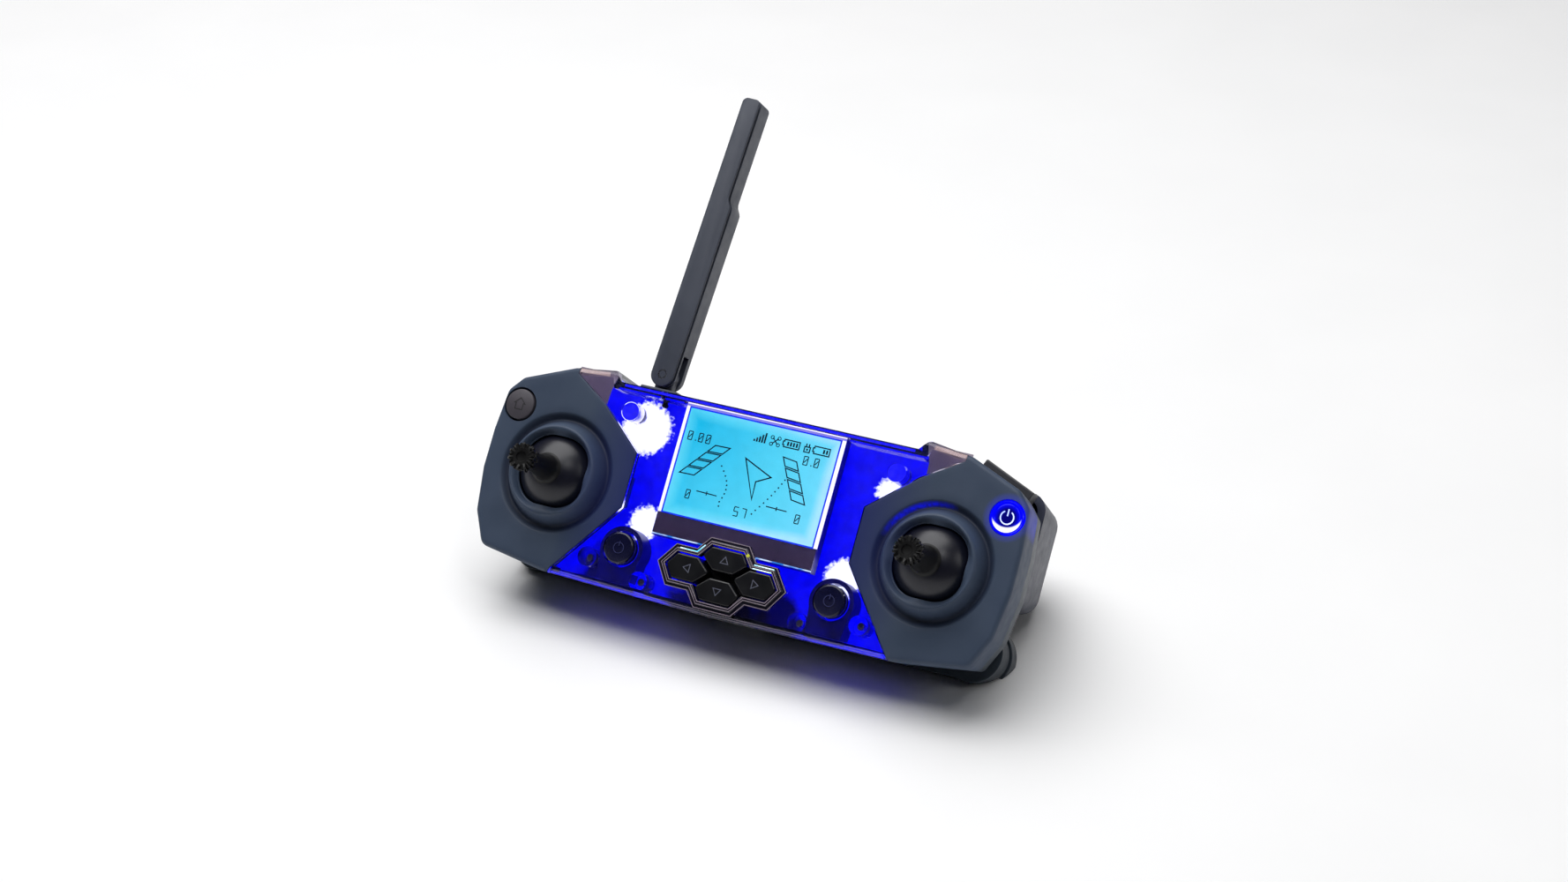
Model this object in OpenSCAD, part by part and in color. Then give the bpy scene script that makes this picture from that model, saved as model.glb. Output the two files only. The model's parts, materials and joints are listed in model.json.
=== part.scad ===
// Twin-stick radio transmitter with a lit clear front, a folding antenna and folding phone clamps.
// Shapes are drawn on the front face: x runs right, y runs up the face, z runs out of it.
// stand() then leans the whole controller back so that it rests on its handles and hinge caps.

/* [Body] */
// Overall width
body_w = 154.4; // [152:0.2:158]
// Height of the recessed top edge above the stick centres
top_y = 28.2; // [27.8:0.1:28.8]
// Depth of the bottom edge below the stick centres
bottom_y = 27.6; // [27.2:0.1:28.4]
// Depth of the seam between the front and rear shells
seam_z = 13; // [12.6:0.1:13.6]
// Wall thickness of the shells
wall = 2; // [1.8:0.1:2.2]
// Lean of the face away from upright when it stands
lean = 39; // [38:0.5:40]

/* [Sticks] */
// Distance between the stick centres
stick_spacing = 110; // [109:0.5:111]
// Radius of the ball under each stick
ball_r = 11.5; // [11.3:0.1:11.6]
// Depth of the ball's centre below the face
ball_z = 4.8; // [4.7:0.1:5]
// Height of the stick tip above the face
tip_z = 23.5; // [20:0.5:26]

/* [Display] */
// Width of the display glass
lcd_w = 44.2; // [42:0.2:45]
// Height of the display glass
lcd_h = 29.2; // [28:0.2:29.2]
// Height of the glass centre above the stick centres
lcd_y = 11.3; // [11:0.1:11.3]

/* [Antenna] */
// Length from the pivot to the tip
antenna_len = 80; // [74:1:84]
// Width of the lower part
antenna_w = 6.8; // [6.4:0.1:7]
// Depth from front to back
antenna_d = 8.6; // [8.2:0.1:9]
// Lean of the antenna to the right at rest
antenna_tilt = 3; // [0:0.5:5]

/* [Clamps] */
// Distance of each clamp pivot from the middle
clamp_x = 65; // [64:0.5:66]
// Thickness of the clamp arms along the face normal
clamp_t = 7.4; // [6.8:0.1:7.4]

/* [Hidden] */
$fn = 48;

// How the leaning controller sits over its own origin
floor_drop = 36.9;
mid_depth = 30.19;

// Outline of the face, right half, from the bottom middle round to the shoulder
half_w = body_w / 2;
shoulder_y = top_y + 2.8;
half_outline = [
    [0, -bottom_y],
    [half_w * 0.67, -bottom_y + 0.9],
    [half_w - 6, -bottom_y + 3.8],
    [half_w - 1.7, -bottom_y + 12.6],
    [half_w, -3],
    [half_w, 8],
    [half_w - 1, 19.4],
    [half_w - 4.6, 23.6],
    [58, 29.4],
    [46.5, shoulder_y],
];
corner_r = 3;
recess_x = 43.5;

// Seam between the clear middle and each grip, from top to bottom
seam_points = [[57, top_y + 4], [56.4, 27.9], [45.8, 21.1], [33.2, 10.3], [33.2, -5], [50.8, -28], [52, -34]];
seam_gap = 0.15;

// Shells
face_t = 1.5;
grip_t = 2.6;
rear_z = 22.4;
back_z = 31;
draft = 0.8;

// Sticks: the socket ring's radii, the groove and the crest of the collar
stick_x = stick_spacing / 2;
socket_r = 17;
groove_r = 14.9;
groove_depth = 1.3;
crest_r = 11.6;
crest_z = 3.6;
opening = 9.7;
opening_corner = 6.4;
ring_steps = 8;
ball_gap = 0.5;
stem_base_r = 3.4;
stem_top_r = 2.3;
tip_len = 5;
tip_teeth = 10;
gimbal_r = 17.5;
gimbal_bore_r = 15.3;
gimbal_depth = 13.5;
yoke_ear_x = 12;
pin_r = 1.2;
cross_pin_r = 1.1;
running_gap = 0.05;

// Circuit board and what it carries
board_z = 10;
board_t = 1.2;
board_x = 34;
board_low_x = 43;
led_spots = [[35.5, 18.7], [28.6, -5.7], [30.5, 6.5], [15.4, -15.2]];
boss_spots = [[39.8, -19.9], [23.3, -23]];
upper_boss = [39, 21];
boss_r = 2.6;
screw_r = 1;

// Display stack behind the clear face
lcd_z = face_t + 0.1;
lcd_rim = 1.15;
ledge_h = 5.9;

// Keys
key_up_points = [[-4.5, -9.2], [4.5, -9.2], [6.6, -12.1], [2.9, -15.3], [-2.9, -15.3], [-6.6, -12.1]];
key_down_points = [[-4.3, -23.8], [4.3, -23.8], [6.4, -20.6], [2.9, -17.5], [-2.9, -17.5], [-6.4, -20.6]];
key_side_points = [[3.6, -16.4], [7.5, -13], [13.5, -13], [16, -16.4], [13.7, -19.9], [7.4, -19.9]];
key_spots = [[0, -12.3], [0, -20.6], [9.8, -16.4], [-9.8, -16.4]];
key_top = 0.8;
key_depth = 3.5;
key_round = 0.8;
frame_gap = 0.35;
round_spot = [30.8, -15.7];
round_r = 4.3;
corner_spot = [71.2, 16];
corner_button_r = 4.4;
button_gap = 0.3;
board_disc_r = 4.2;

// Shoulder buttons on the slanted top sides
shoulder_mid = [64.2, 27];
shoulder_slope = -22.5;
shoulder_len = 16;
shoulder_z = 17.2;
shoulder_depth = 5;
shoulder_proud = 1.7;

// Antenna and its hinge
antenna_x = -34;
antenna_y = top_y + 5;
antenna_z = 7.6;
antenna_step_y = antenna_len * 0.65;
antenna_thin = 2.4;
tongue_t = 2.8;
fork_gap = 0.3;

// Phone clamps
clamp_y = -18;
clamp_end_r = 8;
clamp_front_z = rear_z + 0.4;
clamp_back_z = clamp_front_z + clamp_t;
clamp_tip_x = 5.5;
clamp_pin_r = 2.5;
clamp_seat = 2.2;
pin_seat = 3.5;
cap_t = 5;
floor_gap = 0.6;

// Handles: depth, then left, right, bottom and top of each section
handle_sections = [
    [rear_z, 45, half_w - 2.8, -5, 26.5],
    [44, 45.5, 72.8, -4, 25.5],
    [53, 47, 70.3, -2.4, 23.5],
    [57, 49, 68.5, -0.4, 21.5],
    [58.6, 51.5, 66, 2, 19],
];
foot_x = 61;
foot_y = 12.4;
foot_r = 3.2;
foot_len = 5;
foot_h = 3;

// Battery bay, its cells and the rear box round it
cell_r = 6.95;
cell_len = 50;
cell_z = 20.5;
cell_rows = [0.6, 14.6];
bay_low = -6.6;
bay_high = 21.8;
back_x = 44.8;
door_x = 32;
tray_x = 29.5;
usb_w = 8.6;
usb_z = 17;

// Antenna lead
coax_r = 0.7;
coax_x = -32.4;
coax_z = 13.4;

// Stands the controller on the floor, centred over its origin
module stand() {
    translate([0, -mid_depth, floor_drop]) rotate([90 - lean, 0, 0]) children();
}

// Draws something in floor coordinates from inside stand()
module on_floor() {
    rotate([lean - 90, 0, 0]) translate([0, mid_depth, -floor_drop]) children();
}

// Side 1 is the right, side -1 the left
module on_side(side) {
    mirror([side < 0 ? 1 : 0, 0, 0]) children();
}

module slab(z_low, z_high) {
    translate([0, 0, z_low]) linear_extrude(z_high - z_low) children();
}

// A box given by its low and high corners
module block(low, high) {
    translate(low) cube(high - low);
}

module face_outline(inset = 0) {
    left_half = [for (i = [len(half_outline) - 1:-1:1]) [-half_outline[i][0], half_outline[i][1]]];
    offset(r = corner_r - inset, $fn = 24) offset(delta = -corner_r) polygon(concat(half_outline, left_half));
}

module layer(z, inset) {
    slab(z - 0.01, z) face_outline(inset);
}

// Outer form of the front, with softened edges round the face
module front_form() {
    hull() {
        layer(0, 1.3);
        layer(-0.4, 0.5);
        layer(-1.4, 0);
        layer(-seam_z, draft);
    }
}

// The dip in the top edge between the shoulders; a drop leaves a wall under it
module top_recess(drop = 0) {
    top = top_y - drop;
    slab(-60, 1)
        polygon([[-recess_x - drop, top], [recess_x + drop, top], [recess_x + 5, top + 6], [-recess_x - 5, top + 6]]);
}

module front_hollow(face) {
    difference() {
        hull() {
            layer(-face, wall);
            layer(-seam_z - 1, wall + draft);
        }
        top_recess(wall);
    }
}

module grip_area(gap) {
    offset(delta = -gap)
        polygon(concat(seam_points, [[90, -34], [90, top_y + 4]]));
}

module socket_opening() {
    offset(r = opening_corner) square(2 * (opening - opening_corner), center = true);
}

// Height of the socket's surface at a distance from the stick: groove, collar, inner slope
function ring_z(r) =
    r > groove_r ? -groove_depth * (1 + cos(180 * (r - groove_r) / (socket_r - groove_r))) / 2
    : r > crest_r ? -groove_depth + (crest_z + groove_depth) * (1 - cos(180 * (groove_r - r) / (groove_r - crest_r))) / 2
    : crest_z - 1.6 * (1 - cos(90 * (crest_r - r) / (crest_r - 9)));

module socket_ring() {
    radii = concat(
        [for (i = [0:ring_steps]) socket_r - (socket_r - groove_r) * i / ring_steps],
        [for (i = [1:ring_steps]) groove_r - (groove_r - crest_r) * i / ring_steps],
        [for (i = [1:4]) crest_r - (crest_r - 9) * i / 4]);
    rotate_extrude($fn = 96)
        polygon(concat([[9, -grip_t], [socket_r, -grip_t]], [for (r = radii) [r, ring_z(r)]]));
}

module grip_cover(side) {
    difference() {
        union() {
            difference() {
                intersection() {
                    front_form();
                    on_side(side) slab(-20, 1) grip_area(seam_gap);
                }
                front_hollow(grip_t);
                translate([side * stick_x, 0, -5]) cylinder(r = socket_r - 0.2, h = 8, $fn = 96);
            }
            translate([side * stick_x, 0, 0]) socket_ring();
        }
        translate([side * stick_x, 0, -ball_z]) sphere(r = ball_r + ball_gap, $fn = 96);
        translate([side * stick_x, 0, 0]) slab(-1, 8) socket_opening();
        translate([side * corner_spot[0], corner_spot[1], -seam_z]) cylinder(r = corner_button_r + button_gap, h = 20);
    }
}

module left_grip_cover() stand() color("#3d4c5a") grip_cover(-1);
module right_grip_cover() stand() color("#3d4c5a") grip_cover(1);

module all_keys() {
    translate([0, -16.4]) square([6, 3], center = true);
    polygon(key_up_points);
    polygon(key_down_points);
    polygon(key_side_points);
    mirror([1, 0, 0]) polygon(key_side_points);
}

// Area of the four keys, with the gaps between them closed
module keypad_area(grow) {
    offset(delta = grow - 1) offset(delta = 1) all_keys();
}

module front_cover() stand() color([0.3, 0.32, 0.75, 0.6]) {
    difference() {
        front_form();
        front_hollow(face_t);
        top_recess();
        for (side = [-1, 1]) {
            on_side(side) slab(-20, 1) grip_area(0);
            translate([side * round_spot[0], round_spot[1], -5]) cylinder(r = round_r + button_gap, h = 8);
        }
        slab(-3, 2) keypad_area(2.4);
        block([-24.3, -10, -seam_z - 1], [24.3, top_y - 1.1, -face_t]);
        translate([coax_x, top_y - 4, -antenna_z]) rotate([-90, 0, 0]) cylinder(r = coax_r + 0.2, h = 8);
    }
    for (side = [-1, 1]) {
        for (spot = boss_spots) screw_boss([side * spot[0], spot[1]], -board_z);
        screw_boss([side * upper_boss[0], upper_boss[1]], -seam_z);
    }
}

module screw_boss(spot, z_low) {
    translate([spot[0], spot[1], 0]) difference() {
        translate([0, 0, z_low]) cylinder(r = boss_r, h = -z_low - face_t + 0.1);
        translate([0, 0, z_low - 1]) cylinder(r = screw_r, h = 6);
    }
}

module keypad_frame() stand() color([0.35, 0.33, 0.45, 0.8]) difference() {
    union() {
        slab(-face_t, 0.35) keypad_area(2.3);
        slab(0.35, 0.9) keypad_area(1.2);
    }
    slab(-face_t - 1, 2) keypad_area(frame_gap);
}

module key(points) {
    slab(-key_depth, key_top) offset(r = key_round, $fn = 24) offset(delta = -key_round) polygon(points);
}

module key_up() stand() color("#23262b") key(key_up_points);
module key_down() stand() color("#23262b") key(key_down_points);
module key_right() stand() color("#23262b") key(key_side_points);
module key_left() stand() color("#23262b") mirror([1, 0, 0]) key(key_side_points);

module round_button(side) {
    translate([side * round_spot[0], round_spot[1], -key_depth]) cylinder(r = round_r, h = key_depth + 0.4);
}

module left_round_button() stand() color("#1c2030") round_button(-1);
module right_round_button() stand() color("#1c2030") round_button(1);

module corner_button(side, rise) {
    translate([side * corner_spot[0], corner_spot[1], -4]) cylinder(r = corner_button_r, h = 4 + rise);
}

module home_button() stand() color("#35363a") corner_button(-1, 0.4);
module power_button() stand() color("#1830ff") corner_button(1, 0.3);

// The slanted side's own frame: x along the side, y straight out of it
module on_shoulder(side) {
    on_side(side) translate([shoulder_mid[0], shoulder_mid[1], -shoulder_z]) rotate([0, 0, shoulder_slope]) children();
}

module shoulder_button(side) {
    on_shoulder(side) {
        half = shoulder_len / 2;
        block([-half, -3, -shoulder_depth / 2], [half, shoulder_proud, shoulder_depth / 2]);
    }
}

module left_shoulder_button() stand() color("#26292e") shoulder_button(-1);
module right_shoulder_button() stand() color("#26292e") shoulder_button(1);

module rear_shell() stand() color("#34404c") difference() {
    union() {
        difference() {
            union() {
                hull() {
                    layer(-seam_z - 0.01, draft);
                    layer(-19, draft + 0.6);
                    layer(-rear_z + 0.01, 3.2);
                }
                hull() {
                    block([-back_x, bay_low - wall, -rear_z], [back_x, 27, -rear_z + 3]);
                    block([-back_x, bay_low - wall + 0.6, -back_z], [back_x, 25, -back_z + 1]);
                }
            }
            difference() {
                hull() {
                    layer(-seam_z + 0.1, wall + draft);
                    layer(-rear_z + wall, 3.2 + wall);
                }
                top_recess(wall);
            }
            block([-back_x + wall, bay_low, -back_z + wall], [back_x - wall, bay_high, -rear_z + wall + 1]);
            top_recess();
        }
        for (side = [-1, 1]) {
            translate([side * upper_boss[0], upper_boss[1], -back_z + 0.5])
                cylinder(r = 4, h = back_z - seam_z - 0.7);
            translate([side * clamp_x, clamp_y, -rear_z]) cylinder(r = 4.6, h = pin_seat + 0.5);
        }
    }
    for (side = [-1, 1]) {
        translate([side * upper_boss[0], upper_boss[1], -back_z - 1]) {
            cylinder(r = 2.4, h = 11);
            cylinder(r = screw_r + 0.2, h = 30);
        }
        translate([side * clamp_x, clamp_y, -rear_z - 1]) cylinder(r = clamp_pin_r, h = 1 + pin_seat);
        on_shoulder(side) {
            half = shoulder_len / 2 + button_gap;
            block([-half, -6, -shoulder_depth / 2 - button_gap], [half, 8, shoulder_depth / 2 + button_gap]);
        }
    }
    block([-door_x, bay_low, -back_z - 1], [door_x, bay_high, -back_z + 2 * wall]);
    block([-usb_w / 2 - 0.3, bay_high + 0.1, -usb_z - 1.8], [usb_w / 2 + 0.3, top_y + 5, -usb_z + 1.8]);
}

// Each section of a handle as a thin plate with round corners
module handle_section(z, x_low, x_high, y_low, y_high, corner) {
    slab(-z - 0.01, -z)
        translate([(x_low + x_high) / 2, (y_low + y_high) / 2])
            offset(r = corner, $fn = 24)
                square([x_high - x_low - 2 * corner, y_high - y_low - 2 * corner], center = true);
}

module handle_form(shrink = 0) {
    hull() for (s = handle_sections)
        handle_section(s[0], s[1] + shrink, s[2] - shrink, s[3] + shrink, s[4] - shrink, 5 - shrink);
}

module foot() {
    on_floor() translate([foot_x, foot_y, 0]) {
        cylinder(r = foot_r, h = foot_h);
        translate([-foot_len, 0, 0]) cylinder(r = foot_r, h = foot_h);
        translate([-foot_len, -foot_r, 0]) cube([foot_len, 2 * foot_r, foot_h]);
    }
}

module handle(side) {
    on_side(side) difference() {
        handle_form();
        translate([0, 0, wall]) intersection() {
            handle_form(wall);
            block([0, -40, -55], [90, 40, -rear_z - wall]);
        }
        foot();
    }
}

module left_handle() stand() color("#3a3f4a") handle(-1);
module right_handle() stand() color("#3a3f4a") handle(1);
module handle_feet() stand() color("#141416") {
    foot();
    mirror([1, 0, 0]) foot();
}

module battery_door() stand() color("#343e4a") difference() {
    block([-door_x + 0.2, bay_low + 0.2, -back_z], [door_x - 0.2, bay_high - 0.2, -back_z + wall]);
    for (i = [0:5]) translate([20 + i * 1.6, 0, 0]) block([0, 2, -back_z - 1], [0.8, 14, -back_z + 0.6]);
}

// Front plate and end walls round the cells
module battery_tray() stand() color("#26282c") {
    front = -cell_z + cell_r + 0.1;
    block([-tray_x, bay_low + 0.2, front], [tray_x, bay_high - 0.2, front + 0.9]);
    for (side = [-1, 1]) on_side(side)
        block([tray_x - 1.2, bay_low + 0.2, -28.5], [tray_x, bay_high - 0.2, front + 0.4]);
}

module battery_cells() stand() color("#3f7f5a") for (y = cell_rows) {
    translate([-cell_len / 2, y, -cell_z]) rotate([0, 90, 0]) {
        cylinder(r = cell_r, h = cell_len - 1);
        translate([0, 0, cell_len - 1.2]) cylinder(r = 2.6, h = 1.2);
    }
}

module battery_contacts() stand() color("#b9bcc0") for (y = cell_rows) {
    for (side = [-1, 1]) on_side(side) block([27.8, y - 4, -cell_z - 4], [28.2, y + 4, -cell_z + 4]);
    translate([-27.9, y, -cell_z]) rotate([0, 90, 0]) cylinder(r1 = 3.4, r2 = 1.6, h = 2.8);
    translate([25.1, y, -cell_z]) rotate([0, 90, 0]) cylinder(r = 1.8, h = 2.8);
}

module main_board() stand() color("#dfe4f0") difference() {
    union() {
        block([-board_x, -17.6, -board_z - board_t], [board_x, 24.6, -board_z]);
        block([-board_low_x, -24, -board_z - board_t], [board_low_x, -17.6, -board_z]);
    }
    for (side = [-1, 1]) for (spot = boss_spots)
        translate([side * spot[0], spot[1], -board_z - 5]) cylinder(r = screw_r + 0.2, h = 10);
}

module glow_leds() stand() color("#6a7cff") for (side = [-1, 1]) for (spot = led_spots)
    if (spot[0] < board_x) {
        translate([side * spot[0], spot[1], -board_z]) block([-1.7, -1.4, 0], [1.7, 1.4, 1.1]);
    }
    else {
        translate([side * (board_x - 1.9), spot[1], -board_z]) block([-1.7, -1.4, 0], [1.7, 1.4, 1.1]);
    }

module board_chips() stand() color("#2b2d31") {
    low = -board_z - board_t;
    block([-33.6, 4, low - 1.2], [-24, 16, low]);
    block([2, -4, low - 1], [10, 4, low]);
    block([14, 8, low - 1], [19, 12, low]);
}

module buzzer() stand() color("#1a1a1c") translate([20, -16, -board_z - board_t - 5])
    difference() {
        cylinder(r = 4.5, h = 5);
        translate([0, 0, -1]) cylinder(r = 1, h = 3);
    }

module usb_socket() stand() color("#c4c7cb") difference() {
    block([-usb_w / 2, bay_high + 0.2, -usb_z - 1.5], [usb_w / 2, top_y - 0.4, -usb_z + 1.5]);
    block([-usb_w / 2 + 0.4, bay_high + 1.4, -usb_z - 1.1], [usb_w / 2 - 0.4, top_y, -usb_z + 1.1]);
}

module tact_switch(spot, size, z_low, body_h, plunger_z) {
    translate([spot[0], spot[1], z_low]) {
        block([-size / 2, -size / 2, 0], [size / 2, size / 2, body_h]);
        cylinder(r = size / 4, h = plunger_z - z_low);
    }
}

module key_switches() stand() color("#a9adb3") {
    for (spot = key_spots) tact_switch(spot, 5, -board_z, 3.5, -4.2);
    for (side = [-1, 1]) tact_switch([side * round_spot[0], round_spot[1]], 3.6, -board_z, 3.5, -4.2);
    for (side = [-1, 1]) tact_switch([side * corner_spot[0], corner_spot[1]], 3.6, -7.8, 2.4, -4.8);
    for (side = [-1, 1]) on_shoulder(side) block([-2, -6, -1.8], [2, -4.1, 1.8]);
}

module button_boards() stand() color("#2f6b4a") for (side = [-1, 1]) {
    translate([side * corner_spot[0], corner_spot[1], -8.8]) cylinder(r = board_disc_r - 0.4, h = 1);
    on_shoulder(side) block([-4, -7, -2], [4, -6, 2]);
}

module lcd_glass() stand() color("#4fc8e8") translate([0, lcd_y, -lcd_z - 1.1])
    block([-lcd_w / 2, -lcd_h / 2, 0], [lcd_w / 2, lcd_h / 2, 1.1]);

lcd_low = lcd_y - lcd_h / 2;
lcd_high = lcd_y + lcd_h / 2;
rim_x = lcd_w / 2 + lcd_rim;

module lcd_backlight() stand() color("#f4f8ff") difference() {
    block([-rim_x, lcd_low - ledge_h - 0.6, -lcd_z - 4], [rim_x, lcd_high + lcd_rim - 0.05, -lcd_z]);
    block([-lcd_w / 2 - 0.1, lcd_low - 0.1, -lcd_z - 1.2], [lcd_w / 2 + 0.1, lcd_high + 0.1, 0]);
    block([-rim_x - 1, lcd_low - ledge_h, -lcd_z - 1.2], [rim_x + 1, lcd_low, 0]);
    slab(-lcd_z - 10, 0) keypad_area(0.9);
}

module lcd_ledge() stand() color("#26283a") difference() {
    block([-rim_x, lcd_low - ledge_h + 0.05, -lcd_z - 1.1], [rim_x, lcd_low - 0.15, -lcd_z]);
    slab(-lcd_z - 10, 0) keypad_area(0.9);
}

module lcd_ribbon() stand() color("#b8772c")
    block([-8, lcd_low - 3.2, -board_z], [8, lcd_low - 2.9, -lcd_z - 4]);

module gimbal_frame(side) {
    translate([side * stick_x, 0, -ball_z]) difference() {
        translate([0, 0, -gimbal_depth]) cylinder(r = gimbal_r, h = gimbal_depth + ball_z - grip_t);
        translate([0, 0, -gimbal_depth - 1]) cylinder(r = gimbal_bore_r, h = gimbal_depth + 8);
        rotate([0, 90, 0]) cylinder(r = pin_r + running_gap, h = 50, center = true);
    }
}

module left_gimbal_frame() stand() color("#222327") gimbal_frame(-1);
module right_gimbal_frame() stand() color("#222327") gimbal_frame(1);

module gimbal_pots() stand() color("#3c5fa8") for (side = [-1, 1])
    on_side(side) translate([stick_x - gimbal_r - 2.4, 0, -ball_z]) {
        rotate([0, 90, 0]) cylinder(r = 2, h = 2.3);
        block([0.3, -4.2, -8], [2.1, 4.2, 2]);
    }

module gimbal_yoke(side) {
    ear_out = yoke_ear_x + 1.7;
    translate([side * stick_x, 0, -ball_z]) {
        difference() {
            block([-ear_out, -2.2, -10], [ear_out, 2.2, 0]);
            block([-yoke_ear_x, -3, -7.4], [yoke_ear_x, 3, 1]);
        }
        block([-1.6, -2.2, -7.6], [1.6, 2.2, 0]);
        for (x = [-ear_out, yoke_ear_x]) translate([x, 0, 0]) rotate([0, 90, 0]) cylinder(r = 1.8, h = 1.7);
        for (turn = [0, 180]) rotate([0, 0, turn]) translate([ear_out - 0.5, 0, 0])
            rotate([0, 90, 0]) cylinder(r = pin_r, h = 3.1);
        rotate([90, 0, 0]) cylinder(r = cross_pin_r, h = 9, center = true);
    }
}

module left_gimbal_yoke() stand() color("#55585e") gimbal_yoke(-1);
module right_gimbal_yoke() stand() color("#55585e") gimbal_yoke(1);

// Hollow half ball with an inner fork that hangs on the yoke's cross pin
module stick_ball(side) {
    translate([side * stick_x, 0, -ball_z]) difference() {
        union() {
            difference() {
                sphere(r = ball_r, $fn = 96);
                sphere(r = ball_r - 1.5, $fn = 96);
                block([-20, -20, -20], [20, 20, 1]);
            }
            for (y = [-4.3, 2.5]) block([-2.1, y, -2], [2.1, y + 1.8, 9.6]);
        }
        rotate([90, 0, 0]) cylinder(r = cross_pin_r + running_gap, h = 12, center = true);
        translate([0, 0, ball_r - 1]) cylinder(r = 1.3, h = 4);
    }
}

module left_stick_ball() stand() color("#15161a") stick_ball(-1);
module right_stick_ball() stand() color("#15161a") stick_ball(1);

module stick_stem(side) {
    seat_z = ball_r - ball_z - 0.95;
    translate([side * stick_x, 0, 0]) difference() {
        translate([0, 0, seat_z]) cylinder(r1 = stem_base_r, r2 = stem_top_r, h = tip_z - tip_len - seat_z);
        translate([0, 0, -ball_z]) sphere(r = ball_r, $fn = 96);
    }
}

module left_stick_stem() stand() color("#0c0c0f") stick_stem(-1);
module right_stick_stem() stand() color("#0c0c0f") stick_stem(1);

module stick_tip(side) {
    points = [for (i = [0:2 * tip_teeth - 1])
        (i % 2 == 0 ? 3.1 : 2.3) * [cos(i * 180 / tip_teeth), sin(i * 180 / tip_teeth)]];
    translate([side * stick_x, 0, 0]) difference() {
        slab(tip_z - tip_len, tip_z) polygon(points);
        translate([0, 0, tip_z - 1]) cylinder(r = 1.5, h = 2);
    }
}

module left_stick_tip() stand() color("#08080a") stick_tip(-1);
module right_stick_tip() stand() color("#08080a") stick_tip(1);

// The antenna's own frame: y along the antenna from its pivot, z out of the face
module on_antenna() {
    translate([antenna_x, antenna_y, -antenna_z]) rotate([0, 0, -antenna_tilt]) children();
}

module antenna_outline(inset = 0) {
    half = antenna_w / 2;
    offset(delta = -inset) union() {
        circle(r = half);
        polygon([
            [-half, 0], [half, 0], [half, antenna_step_y], [half - antenna_thin, antenna_step_y + 3.5],
            [half - antenna_thin, antenna_len - 1.2], [half - antenna_thin - 1.2, antenna_len],
            [-half + 1.2, antenna_len], [-half, antenna_len - 1.2],
        ]);
    }
}

module antenna_half(z_low, z_high, cavity_low, cavity_high) {
    on_antenna() difference() {
        slab(z_low, z_high) antenna_outline();
        slab(cavity_low, cavity_high) intersection() {
            antenna_outline(1.1);
            translate([-10, 9]) square([20, antenna_len]);
        }
        block([-6, -6, -tongue_t / 2 - fork_gap], [6, 6.5, tongue_t / 2 + fork_gap]);
        translate([0, 0, -20]) cylinder(r = pin_r + running_gap, h = 40);
    }
}

module antenna_front() stand() color("#46505e") antenna_half(0, antenna_d / 2, -1, antenna_d / 2 - 1.2);
module antenna_back() stand() color("#3c4552") antenna_half(-antenna_d / 2, -0.05, -antenna_d / 2 + 1.2, 1);
module antenna_whip() stand() color("#b98a3a") on_antenna()
    block([-1.7, 9, -0.4], [-0.4, antenna_len - 6, 0.4]);

module antenna_bracket() stand() color("#3a4350") difference() {
    union() {
        block([antenna_x - 5.5, top_y, -antenna_z - 4], [antenna_x + 5.5, top_y + 1.1, -antenna_z + 4]);
        translate([0, 0, -antenna_z]) slab(-tongue_t / 2, tongue_t / 2) {
            translate([antenna_x, antenna_y]) circle(r = 2.9);
            translate([antenna_x - 2.6, top_y + 0.5]) square([5.2, 4.5]);
        }
    }
    translate([antenna_x, antenna_y, -antenna_z - 10]) cylinder(r = pin_r, h = 20);
}

module antenna_pin() stand() color("#9a9da3")
    translate([antenna_x, antenna_y, -antenna_z - antenna_d / 2]) cylinder(r = pin_r, h = antenna_d);

// From the radio chip up behind the board, forward past its edge and out to the bracket
module antenna_coax() stand() color("#1b1b1e") {
    edge_y = 25.4;
    translate([coax_x, 8, -coax_z]) rotate([-90, 0, 0]) cylinder(r = coax_r, h = edge_y - 8);
    translate([coax_x, edge_y, -coax_z - 0.4]) cylinder(r = coax_r, h = coax_z + 0.8 - antenna_z);
    translate([coax_x, edge_y - 0.4, -antenna_z]) rotate([-90, 0, 0])
        cylinder(r = coax_r, h = top_y - edge_y + 0.4);
}

// Everything that is at least this far above the floor
module above_floor(gap) {
    on_floor() block([-200, -200, gap], [200, 300, 300]);
}

// Two strips let into the arm's inner edge
module pad_blocks() {
    low = -clamp_back_z + 1;
    high = -clamp_front_z - 1;
    block([clamp_tip_x + 2, -13.2, low], [clamp_tip_x + 13, -11.4, high]);
    block([clamp_tip_x + 22, -14.6, low], [clamp_tip_x + 38, -11.8, high]);
}

module clamp_arm(side) {
    on_side(side) difference() {
        intersection() {
            slab(-clamp_back_z, -clamp_front_z) {
                translate([clamp_x, clamp_y]) circle(r = clamp_end_r);
                offset(r = 2.5) polygon([[clamp_tip_x + 2.5, -24], [clamp_tip_x + 2.5, -15],
                    [clamp_tip_x + 14, -15], [clamp_tip_x + 20, -16.5], [clamp_x, -14.5], [clamp_x, -23]]);
            }
            above_floor(floor_gap);
        }
        translate([clamp_x, clamp_y, -40]) cylinder(r = clamp_pin_r + running_gap, h = 40);
        block([clamp_tip_x + 22, -23.5, -clamp_back_z - 1], [clamp_x - 12, -18.6, -clamp_back_z + 2]);
        pad_blocks();
    }
}

module left_clamp_arm() stand() color("#2c333c") clamp_arm(-1);
module right_clamp_arm() stand() color("#2c333c") clamp_arm(1);

module left_clamp_pad() stand() color("#101012") on_side(-1) pad_blocks();
module right_clamp_pad() stand() color("#101012") on_side(1) pad_blocks();

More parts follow.
